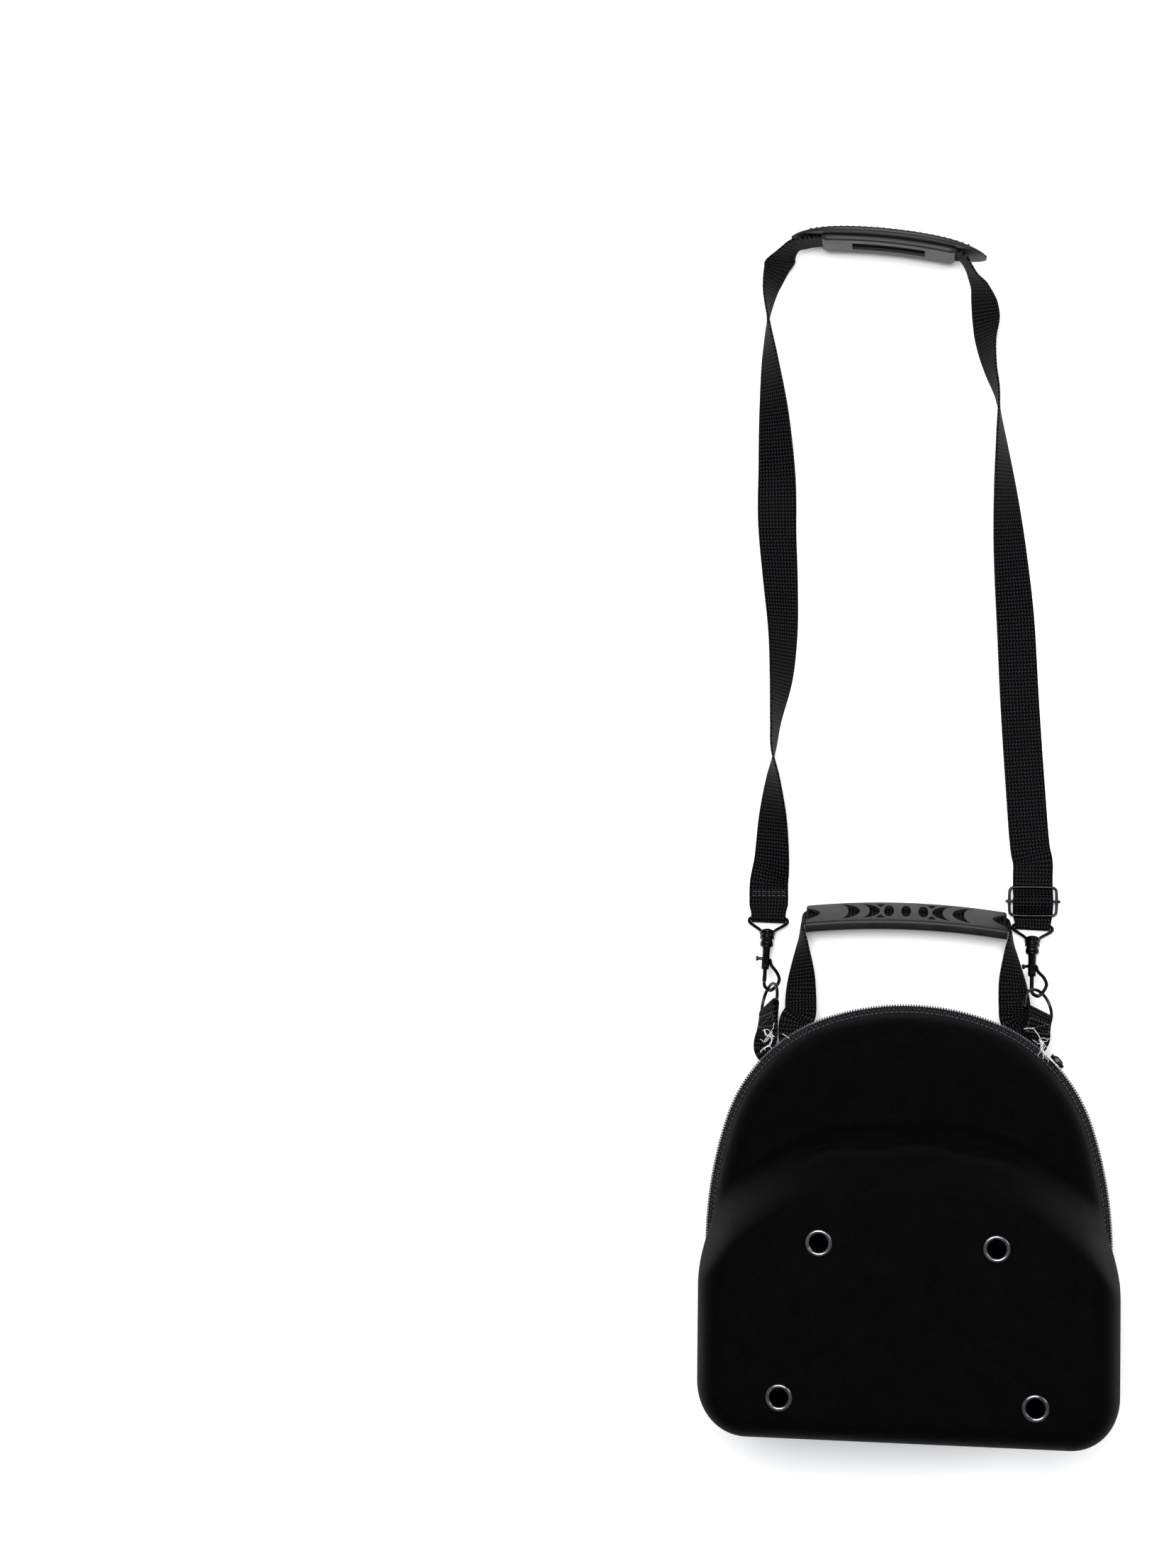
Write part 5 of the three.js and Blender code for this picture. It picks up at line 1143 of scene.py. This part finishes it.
def handle_run():
    """The handle webbing: out of the left seam, through the grip and back to the right seam."""
    at = grip_frame()

    def leg(side):
        root, seam = (np.append(rim(side * HANDLE_FROM_TOP, offset)[0], HANDLE_SEAM_HEIGHT)
                      for offset in (GAP - WALL, 1.0))
        corner = at(side * 1.03, 0, 0) - vec(0, 3, 0)
        rows = [(root, 0, 1.0), (seam, 0, 1.0), (seam + vec(0, 10, -1.8), 0, 1.0)]
        rows += [(vec(mix(root[0], corner[0], along + (1 - along) * aside), mix(root[1], corner[1], along),
                      mix(corner[2], HANDLE_SEAM_HEIGHT, height)), stand, 1.0)
                 for along, aside, height, stand in HANDLE_ROWS]
        return rows + [(corner, 86, 1.0)]

    inside = [(at(s, 0, 0), GRIP_LEAN, 1.0) for s in (-0.99, -0.9, -0.6, -0.3, 0, 0.3, 0.6, 0.9, 0.99)]
    return route(leg(-1) + inside + leg(1)[::-1], 460)


def arch_body(at, shares, section):
    """A section carried along an arch: the section's points (u, v) may change with the share.
    Both ends are drawn shut."""
    return surface(drawn_shut(np.stack([at(share, *section(share).T) for share in shares])))


def soft_box(half_width, low, high, radius, count=6):
    """A rectangle in (u, v) with rounded corners."""
    return rounded([(half_width, high), (-half_width, high), (-half_width, low), (half_width, low)],
                   radius, count)


def sharpen(piece, degrees=32.0):
    piece.data.polygons.foreach_set("use_smooth", np.full(len(piece.data.polygons), True))
    piece.data.set_sharp_from_angle(angle=np.radians(degrees))


def make_handle():
    run = handle_run()
    new_piece("handle_web", webbing(run, HANDLE_WIDTH, HANDLE_THICKNESS), finish_of("webbing"),
              ["handle_webbing"])
    make_grip()


def make_grip():
    """The moulded grip: a rounded bar on a shallow arch whose ends are rolled in, with the
    webbing's slot, V notches at both ends and bowed cut-outs through its face."""
    at = grip_frame()
    half = GRIP_THICKNESS / 2

    def section(share):
        fall = np.sqrt(max(1 - ((abs(share) - 0.985) / 0.015) ** 2, 0)) if abs(share) > 0.985 else 1.0
        return soft_box(GRIP_WIDTH / 2 - 1.0 * (1 - fall), -half + 1.2 * (1 - fall),
                        half - 1.2 * (1 - fall), 2.4)

    shares = np.concatenate([[-1, -0.997, -0.992, -0.985], np.linspace(-0.96, 0.96, 49),
                             [0.985, 0.992, 0.997, 1]])
    grip = new_piece("handle_grip_moulding", arch_body(at, shares, section), finish_of("rubber"),
                     ["handle_grip"])

    def slot_section(share):
        mouth = max(abs(share) - 0.88, 0) * 22
        return soft_box(HANDLE_WIDTH / 2 + GAP + mouth, -HANDLE_THICKNESS / 2 - GAP - mouth,
                        HANDLE_THICKNESS / 2 + GAP + mouth, 0.6, 3)

    slot = arch_body(at, [-1.04, -1, -0.95, -0.88, *np.linspace(-0.8, 0.8, 17), 0.88, 0.95, 1, 1.04],
                     slot_section)
    carve(grip, slot)

    def cutter(u, near, far):
        """A strip cut through the face: at each u it spans from near to far, a little wider at
        the top."""
        deep, high = HANDLE_THICKNESS / 2, half + 2.0
        flare = 0.5 / GRIP_LENGTH
        return surface(drawn_shut(np.stack([at(near, u, deep), at(near - flare, u, high),
                                            at(far + flare, u, high), at(far, u, deep)], 1)))

    angle = np.radians(np.linspace(-82, 82, 21))
    cuts = []
    for place, belly, back, tall in GRIP_CUTS + ((0.0, 0.047, -0.047, 0.56),):
        for side in (-1, 1) if place else (1,):
            edges = np.sort([side * (place + bow * np.cos(angle)) for bow in (belly, back)], 0)
            cuts.append(cutter(tall * GRIP_WIDTH / 2 * np.sin(angle), *edges))
    notch = GRIP_NOTCH / (GRIP_LENGTH / 2)
    for side in (-1, 1):
        u = np.linspace(-0.3, 0.3, 25)
        depth = 1 - notch * (1 - np.abs(u / 0.3) ** 2)
        edges = np.sort([side * depth, side * 1.06 + 0 * u], 0)
        cuts.append(cutter(u * GRIP_WIDTH, *edges))
        for tip in (-1, 1):
            t = np.linspace(0.08, 1, 6)
            wide = 0.045 * t[::tip]
            cuts.append(cutter(tip * mix(5.2, 9.8, t)[::tip], side * 0.253 - wide, side * 0.253 + wide))
    for part in cuts:
        carve(grip, part)
    sharpen(grip)


def make_pad():
    """The moulded pad: a plate with round ends, a row of nubs along the face that lies on the
    shoulder, and a sleeve with a window that the strap runs through."""
    at = pad_frame()
    half = PAD_THICKNESS / 2

    def plate_section(share):
        tip = min(abs(share), 1.0)
        width = PAD_WIDTH / 2 * np.sqrt(max(1 - tip ** 3.4, 0.04))
        thin = half * (1 - 0.6 * smooth((tip - 0.6) / 0.4))
        return soft_box(width, -thin, thin, min(1.2, thin * 0.9), 5)

    shares = np.sin(np.radians(np.linspace(-90, 90, 61)))
    sleeve_run = SLEEVE_LENGTH / PAD_LENGTH
    inner = STRAP_THICKNESS + 2 * GAP
    bottom = half + inner + SLEEVE_WALL

    def sleeve_section(share):
        fall = 1 - smooth((abs(share) / sleeve_run - 0.93) / 0.07)
        return soft_box(STRAP_WIDTH / 2 + GAP + SLEEVE_WALL - 0.8 * (1 - fall), -bottom + 1.0 * (1 - fall),
                        0.5 - half, 1.6, 5)

    sleeve_shares = sleeve_run * np.concatenate([[-1, -0.985, -0.96], np.linspace(-0.93, 0.93, 31),
                                                 [0.96, 0.985, 1]])
    pad = new_piece("shoulder_pad_moulding", arch_body(at, shares, plate_section), finish_of("rubber"),
                    ["shoulder_pad"])
    sleeve = new_piece("shoulder_pad_sleeve", arch_body(at, sleeve_shares, sleeve_section),
                       finish_of("rubber"))
    slot = arch_body(at, sleeve_run * np.linspace(-1.04, 1.04, 27),
                     lambda share: soft_box(STRAP_WIDTH / 2 + GAP, -half - inner, -half, 0.4, 3))
    window = arch_body(at, SLEEVE_WINDOW / PAD_LENGTH * np.linspace(-1, 1, 9),
                       lambda share: soft_box(STRAP_WIDTH * 0.3, -bottom - 1, 0.4 - half - inner, 0.5, 3))
    carve(sleeve, slot)
    carve(sleeve, window)
    sharpen(sleeve)
    sharpen(pad, 50.0)
    nub_share = np.linspace(-0.8, 0.8, 27)
    reach = PAD_WIDTH / 2 * np.sqrt(1 - np.abs(nub_share) ** 3.4)
    rows = []
    for inset in (3.0, 7.0, 11.0):
        centre = at(nub_share, reach - inset, half)
        out = at(nub_share, reach - inset, half + 1) - centre
        across = at(nub_share, reach - inset + 1, half) - centre
        side = np.cross(out, across)
        angle = (np.arange(10) / 10 * 2 * np.pi)[None]
        bend = np.radians(vec(0, 30, 60, 90))[:, None]
        dome = np.stack([1.0 * np.cos(bend) * np.cos(angle), 1.6 * np.cos(bend) * np.sin(angle),
                         1.1 * np.sin(bend) - 0.3 + 0 * angle], -1)
        base = np.concatenate([np.tile(vec(0, 0, -0.3), (1, 10, 1)), dome])
        rows.append(repeated(surface(base), centre, np.stack([side, across, out], 1)))
    new_piece("shoulder_pad_nubs", joined(*rows), finish_of("rubber"))


def make_strap():
    """The strap, with two rows of stitches across the fold at its left end, and its adjuster."""
    new_piece("strap_web", webbing(strap_run(), STRAP_WIDTH, STRAP_THICKNESS), finish_of("webbing"),
              ["strap_webbing"])
    end = left_strap_end()
    for index, along in enumerate((2.5, 5.0)):
        new_piece(f"strap_end_seam_{index}", seam_on(end, [(-11, along), (11, along)], STRAP_THICKNESS),
                  finish_of("black thread"))
    make_adjuster()


def make_adjuster():
    """The adjuster: a round-cornered wire frame with a bar across its middle."""
    half_x, half_y, corner = (ADJUSTER_WIDTH - FRAME_WIRE) / 2, (ADJUSTER_LENGTH - FRAME_WIRE) / 2, 2.6
    turn = np.radians(np.linspace(0, 90, 4))
    outline = []
    for quarter, (sx, sy) in enumerate(((1, 1), (-1, 1), (-1, -1), (1, -1))):
        a = turn + quarter * np.pi / 2
        outline += [(sx * (half_x - corner) + corner * c, sy * (half_y - corner) + corner * s, 0)
                    for c, s in zip(np.cos(a), np.sin(a))]
    bar = wire([(-ADJUSTER_WIDTH / 2 - 0.9, 0, 0), (0, 0, 0), (ADJUSTER_WIDTH / 2 + 0.9, 0, 0)], FRAME_WIRE,
               vec(0, 0, 1), count=12, sides=20)
    frame_wire = wire(outline, FRAME_WIRE, vec(0, 0, 1), closed=True, count=160, sides=18)
    new_piece("strap_adjuster_cast", moved(joined(frame_wire, bar), adjuster_place()),
              finish_of("metal"), ["strap_adjuster"])


def eased(rows, radius):
    """A turned profile with its corners rounded, so that edges catch the light."""
    rows = np.asarray(rows, float)
    return np.vstack([rows[:1], bends(rows[:-2], rows[1:-1], rows[2:], radius, 0.4, 4), rows[-1:]])


def barrel_across(radius, centre, length):
    """A closed cylinder along X with eased edges, about its centre."""
    rows = eased([(0, -length / 2), (radius, -length / 2), (radius, length / 2), (0, length / 2)], 0.25)
    points, quads, corners = turned(rows, 24)
    return points[:, [1, 0, 2]] + np.asarray(centre, float), quads, corners


def make_clips(side):
    """One side's clip: the ring in the tab, the bail with its ridged collar, the hook that turns
    in it, and the spring bolt with its knob."""
    metal = finish_of("metal")
    origin, axes = hook_axes(side)
    own = rolled(axes, SIDES[side]["roll"])
    # The ring: a straight bar, then half an ellipse that the hook holds
    bar, stand = vec(*SIDES[side]["bar"]), SIDES[side]["stand"]
    station = stations(bar[None], axes[1][None], vec(stand), 1.0)
    across, along = station["across"][0], axes[1]
    half = TAB_WIDTH / 2 + GAP + RING_WIRE / 2 + 0.2
    angle = np.radians(np.linspace(0, 180, 13))
    outline = [(half * share, 0) for share in (-0.84, -0.42, 0, 0.42, 0.84)] + [(half * 0.97, 0.8)]
    outline += [(half * np.cos(a), RING_SIDE + (RING_REACH - RING_SIDE) * np.sin(a)) for a in angle]
    outline = np.array(outline + [(-half * 0.97, 0.8)])
    points = bar + outline[:, :1] * across + outline[:, 1:] * along
    ring = wire(points, RING_WIRE, np.cross(across, along), closed=True, count=150, sides=18)
    new_piece(f"{side}_ring_wire", ring, metal, [f"{side}_tab_ring"])
    # The bail and its collar
    half = STRAP_WIDTH * BAIL_SQUEEZE / 2 + GAP + BAIL_WIRE / 2
    low = COLLAR_RADIUS - 1
    right = [(low, -0.4), (low + 0.8, 1.2), (half * 0.98, BAIL_HEIGHT - 3), (half, BAIL_HEIGHT - 1.2),
             (half * 0.93, BAIL_HEIGHT)]
    path = [(-x, y, 0) for x, y in right] + [(0, BAIL_HEIGHT, 0)] + [(x, y, 0) for x, y in right[::-1]]
    ridge, bore = COLLAR_RADIUS, STEM_RADIUS + GAP
    collar = turned(np.vstack([eased([
        (bore, 0), (ridge, 0), (ridge, 1.6), (ridge - 1, 2), (ridge - 1, 2.6), (ridge - 0.3, 3),
        (ridge - 0.3, 4.6), (ridge - 1.2, 5), (ridge - 1.2, COLLAR_LENGTH), (bore, COLLAR_LENGTH)], 0.3),
        [(bore, 0)]]), 40)
    bail = joined(collar, wire(path, BAIL_WIRE, vec(0, 0, 1), count=120, sides=18))
    new_piece(f"{side}_bail_cast", moved(bail, origin, axes), metal, [f"{side}_strap_bail"])
    # The hook: head, stem, swivel and barrel turned in one, bored for the bolt, and the eye
    head = STEM_RADIUS + 1.1
    body = turned(eased([
        (0, -1.5), (head, -1.5), (head, -GAP), (STEM_RADIUS, -GAP), (STEM_RADIUS, COLLAR_LENGTH + GAP),
        (SWIVEL_RADIUS, COLLAR_LENGTH + GAP), (SWIVEL_RADIUS, BARREL_TOP - 1.6),
        (BARREL_RADIUS, BARREL_TOP), (BARREL_RADIUS, BARREL_END), (0, BARREL_END)], 0.4), 40)
    hook = new_piece(f"{side}_hook_cast", moved(body, origin, own), metal, [f"{side}_hook"],
                     body=f"{side}_hook")
    bore_rows = [(0, BARREL_TOP + 0.6), (BOLT_RADIUS + GAP, BARREL_TOP + 0.6),
                 (BOLT_RADIUS + GAP, BARREL_END + 1), (0, BARREL_END + 1)]
    knob = BOLT_TOP + KNOB_FROM_BOLT_TOP
    top, end = knob - BOLT_TRAVEL - KNOB_RADIUS - GAP, knob + KNOB_RADIUS + GAP
    width = KNOB_RADIUS + GAP
    slot = plate([(-4, -end), (0, -end), (0, -top), (-4, -top)], 2 * width, 0.0)
    carve(hook, moved(turned(bore_rows, 32), origin, own))
    carve(hook, moved(slot, origin, own))
    sharpen(hook, 40.0)
    start = BARREL_RADIUS + 0.3
    eye = [(start, BARREL_END - 6), (start + 1, BARREL_END - 2.5), (EYE_BELLY - 1.6, BARREL_END + 3),
           (EYE_BELLY, BARREL_END + 8), (EYE_BELLY - 1.8, HOOK_END - 3), (EYE_BOTTOM, HOOK_END),
           (0.8, HOOK_END - 2.2), (0, HOOK_END - 4.6)]
    eye_wire = wire([(x, -down, 0) for x, down in eye], HOOK_WIRE, vec(0, 0, 1), count=110, sides=20)
    new_piece(f"{side}_hook_eye", moved(eye_wire, origin, own), metal, body=f"{side}_hook")
    # The bolt, its knob and button
    rod = [(0, BOLT_TOP), (BOLT_RADIUS, BOLT_TOP), (BOLT_RADIUS, BOLT_END), (0, BOLT_END)]
    reach = KNOB_REACH - 1.2
    parts = joined(turned(eased(rod, 0.3), 28), barrel_across(KNOB_RADIUS, (-reach / 2, -knob, 0), reach),
                   barrel_across(KNOB_RADIUS + 0.6, (-KNOB_REACH + 0.7, -knob, 0), 1.4))
    new_piece(f"{side}_bolt_turned", moved(parts, origin, own), metal, [f"{side}_hook_bolt"],
              body=f"{side}_hook_bolt")


def make_tab(side):
    """One tab of folded webbing, its cross seam, and the frayed pale thread at its root."""
    whole, upper = tab_run(side)
    new_piece(f"{side}_tab_web", webbing(whole, TAB_WIDTH, TAB_THICKNESS), finish_of("webbing"),
              [f"{side}_tab"])
    long = length_along(upper["place"])[-1]
    near, far = long - 13.0, long - 5.5
    seam = [(-8, near), (8, near), (8, far), (-8, far), (-8, near), (8, far)]
    new_piece(f"{side}_tab_seam", seam_on(upper, seam, TAB_THICKNESS, 2.0, 0.7, 0.45),
              finish_of("black thread"))
    loose = np.random.default_rng(7)
    strands = [wire(np.asarray(points) + loose.uniform(-1, 1, (len(points), 3)) * vec(0.9, 0.9, 0.3) * twin,
                    size * 0.6, vec(0, 0, 1), count=46, sides=6)
               for size, points in FRAYED[side] for twin in (0, 1)]
    guide = np.asarray(FRAYED[side][1][1])
    for _ in range(9):
        start = mix(guide[0], guide[3], loose.uniform(0, 1)) + loose.uniform(-1, 1, 3) * vec(1.2, 1.2, 0.2)
        heading = loose.uniform(0, 2 * np.pi) + np.cumsum(loose.uniform(-1.3, 1.3, 5))
        steps = np.stack([np.cos(heading), np.sin(heading), loose.uniform(-0.3, 0.4, 5)], -1) * 1.3
        strands.append(wire(start + np.vstack([vec(0, 0, 0), np.cumsum(steps, 0)]), 0.32, vec(0, 0, 1),
                            count=30, sides=6))
    new_piece(f"{side}_frayed_thread", joined(*strands), finish_of("pale thread"))


# The stage

def camera_turn():
    """The camera hangs over the bag and is swung towards the middle of the photograph's frame."""
    level = Matrix.Rotation(CAMERA_TURN, 3, "Z")
    middle = Vector((PHOTO[0] / 2 - BELOW_CAMERA[0], BELOW_CAMERA[1] - PHOTO[1] / 2,
                     -FOCAL_PIXELS)).normalized()
    return level @ Vector((0, 0, -1)).rotation_difference(middle).to_matrix()


def make_stage():
    scene = bpy.context.scene
    lens = bpy.data.cameras.new("camera")
    lens.sensor_width = 36.0
    lens.lens = FOCAL_PIXELS * lens.sensor_width / PHOTO[1]
    lens.clip_end = 20.0
    camera = bpy.data.objects.new("camera", lens)
    scene.collection.objects.link(camera)
    camera.matrix_world = Matrix.Translation(Vector(CAMERA_PLACE) * MM) @ camera_turn().to_4x4()
    scene.camera = camera

    edge = 4000.0
    x, y = np.meshgrid(np.linspace(-edge, edge, 9), np.linspace(-edge, edge, 9))
    sweep = surface(np.stack([x, y, 0 * x - 0.05], -1), wrap=False)
    floor = bpy.data.objects.new("floor", make_mesh("floor", sweep))
    scene.collection.objects.link(floor)
    floor.data.materials.append(finish_of("floor"))
    floor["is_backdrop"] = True

    lights = scene.hat_bag_light
    for name, place, aim, size, power in (
            ("soft_box", (-100, 650, 2200), (0, 100, 0), 1200, lights.key),
            ("side_box", (1500, 700, 1300), (0, 200, 0), 900, lights.fill)):
        lamp = bpy.data.lights.new(name, "AREA")
        lamp.shape, lamp.size, lamp.energy = "DISK", size * MM, power
        lamp_object = bpy.data.objects.new(name, lamp)
        scene.collection.objects.link(lamp_object)
        turn = (Vector(aim) - Vector(place)).to_track_quat("-Z", "Y").to_matrix().to_4x4()
        lamp_object.matrix_world = Matrix.Translation(Vector(place) * MM) @ turn

    world = bpy.data.worlds.new("room")
    world.use_nodes = True
    world.node_tree.nodes.clear()
    sky = {"Color": linear("#f4f6fa"), "Strength": lights.room}
    made = {"sky": add_node(world.node_tree, "Background", sky, {})}
    add_node(world.node_tree, "OutputWorld", {"Surface": "sky"}, made)
    scene.world = world
    scene.view_settings.view_transform = "Standard"


# Settings, operators and panel

def length_setting(name, description, default):
    return bpy.props.FloatProperty(name=name, description=description, default=default, min=0.0,
                                   unit="LENGTH", subtype="DISTANCE", precision=5)


def colour_setting(name, description, code):
    return bpy.props.FloatVectorProperty(name=name, description=description, default=linear(code), min=0.0,
                                         max=1.0, size=4, subtype="COLOR")


class HatBagSizes(bpy.types.PropertyGroup):
    shell_thread: length_setting("Shell thread", "Spacing of two threads of the shell's cloth", 0.0011)
    tooth_pitch: length_setting("Tooth pitch", "Spacing of the zip's coil turns", 0.0016)


class HatBagColours(bpy.types.PropertyGroup):
    # The cloth's near-black, with painted shade in the hollows (dark) and painted highlight on the raised
    # threads (light).
    cloth_dark: colour_setting("Cloth, dark", "Hollows of the shell's cloth", "#020202")
    cloth_light: colour_setting("Cloth, light", "Raised threads of the shell's cloth", "#060607")
    rubber_dark: colour_setting("Rubber, dark", "Moulded rubber", "#0d0d0e")
    rubber_light: colour_setting("Rubber, light", "Rubber where it has bloomed", "#171718")


class HatBagLight(bpy.types.PropertyGroup):
    key: bpy.props.FloatProperty(name="Window", description="Power of the soft light over the strap",
                                 default=72.0, min=0.0, unit="POWER")
    fill: bpy.props.FloatProperty(name="Fill", description="Power of the soft light from the front",
                                  default=10.0, min=0.0, unit="POWER")
    room: bpy.props.FloatProperty(name="Room", description="Strength of the even light of the room",
                                  default=0.4, min=0.0)


class HATBAG_OT_shells(bpy.types.Operator):
    """Builds the two cloth-covered shells and their eyelets"""
    bl_idname = "hatbag.make_shells"
    bl_label = "Shells and eyelets"

    def execute(self, context):
        make_shells()
        make_eyelets()
        return {"FINISHED"}


class HATBAG_OT_zip(bpy.types.Operator):
    """Builds the zip round the rim, its slider and the cloth hinge"""
    bl_idname = "hatbag.make_zip"
    bl_label = "Zip and hinge"

    def execute(self, context):
        make_zip()
        return {"FINISHED"}


class HATBAG_OT_handle(bpy.types.Operator):
    """Builds the handle webbing and its moulded grip"""
    bl_idname = "hatbag.make_handle"
    bl_label = "Handle"

    def execute(self, context):
        make_handle()
        return {"FINISHED"}


class HATBAG_OT_strap(bpy.types.Operator):
    """Builds the shoulder strap, its adjuster and its moulded pad"""
    bl_idname = "hatbag.make_strap"
    bl_label = "Shoulder strap"

    def execute(self, context):
        make_strap()
        make_pad()
        return {"FINISHED"}


class HATBAG_OT_clips(bpy.types.Operator):
    """Builds both tabs with their rings, hooks, bolts and bails"""
    bl_idname = "hatbag.make_clips"
    bl_label = "Tabs and clips"

    def execute(self, context):
        for side in SIDES:
            make_tab(side)
            make_clips(side)
        return {"FINISHED"}


class HATBAG_OT_stage(bpy.types.Operator):
    """Sets the camera, the soft lights and the pale floor"""
    bl_idname = "hatbag.make_stage"
    bl_label = "Stage"

    def execute(self, context):
        make_stage()
        return {"FINISHED"}


OPERATORS = (HATBAG_OT_shells, HATBAG_OT_zip, HATBAG_OT_handle, HATBAG_OT_strap, HATBAG_OT_clips,
             HATBAG_OT_stage)
GROUPS = (("hat_bag_sizes", HatBagSizes), ("hat_bag_colours", HatBagColours),
          ("hat_bag_light", HatBagLight))


class HATBAG_PT_panel(bpy.types.Panel):
    """Lists the hat bag's settings and operators"""
    bl_idname = "HATBAG_PT_panel"
    bl_label = "Hat bag"
    bl_space_type = "VIEW_3D"
    bl_region_type = "UI"
    bl_category = "Hat bag"

    def draw(self, context):
        for attribute, group in GROUPS:
            for name in group.__annotations__:
                self.layout.prop(getattr(context.scene, attribute), name)
        for operator in OPERATORS:
            self.layout.operator(operator.bl_idname)


def register():
    for _, group in GROUPS:
        bpy.utils.register_class(group)
    for kind in (*OPERATORS, HATBAG_PT_panel):
        bpy.utils.register_class(kind)
    for attribute, group in GROUPS:
        setattr(bpy.types.Scene, attribute, bpy.props.PointerProperty(type=group))


def unregister():
    for attribute, _ in GROUPS:
        delattr(bpy.types.Scene, attribute)
    for kind in (HATBAG_PT_panel, *reversed(OPERATORS)):
        bpy.utils.unregister_class(kind)
    for _, group in GROUPS:
        bpy.utils.unregister_class(group)


def main():
    register()
    bpy.ops.hatbag.make_stage()
    bpy.ops.hatbag.make_shells()
    bpy.ops.hatbag.make_zip()
    bpy.ops.hatbag.make_handle()
    bpy.ops.hatbag.make_strap()
    bpy.ops.hatbag.make_clips()
    plain = lambda box: [[float(v) for v in corner] for corner in box]
    {"cad": plain(CAD_BOX), "visual": plain(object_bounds())}


if __name__ == "__main__":
    main()
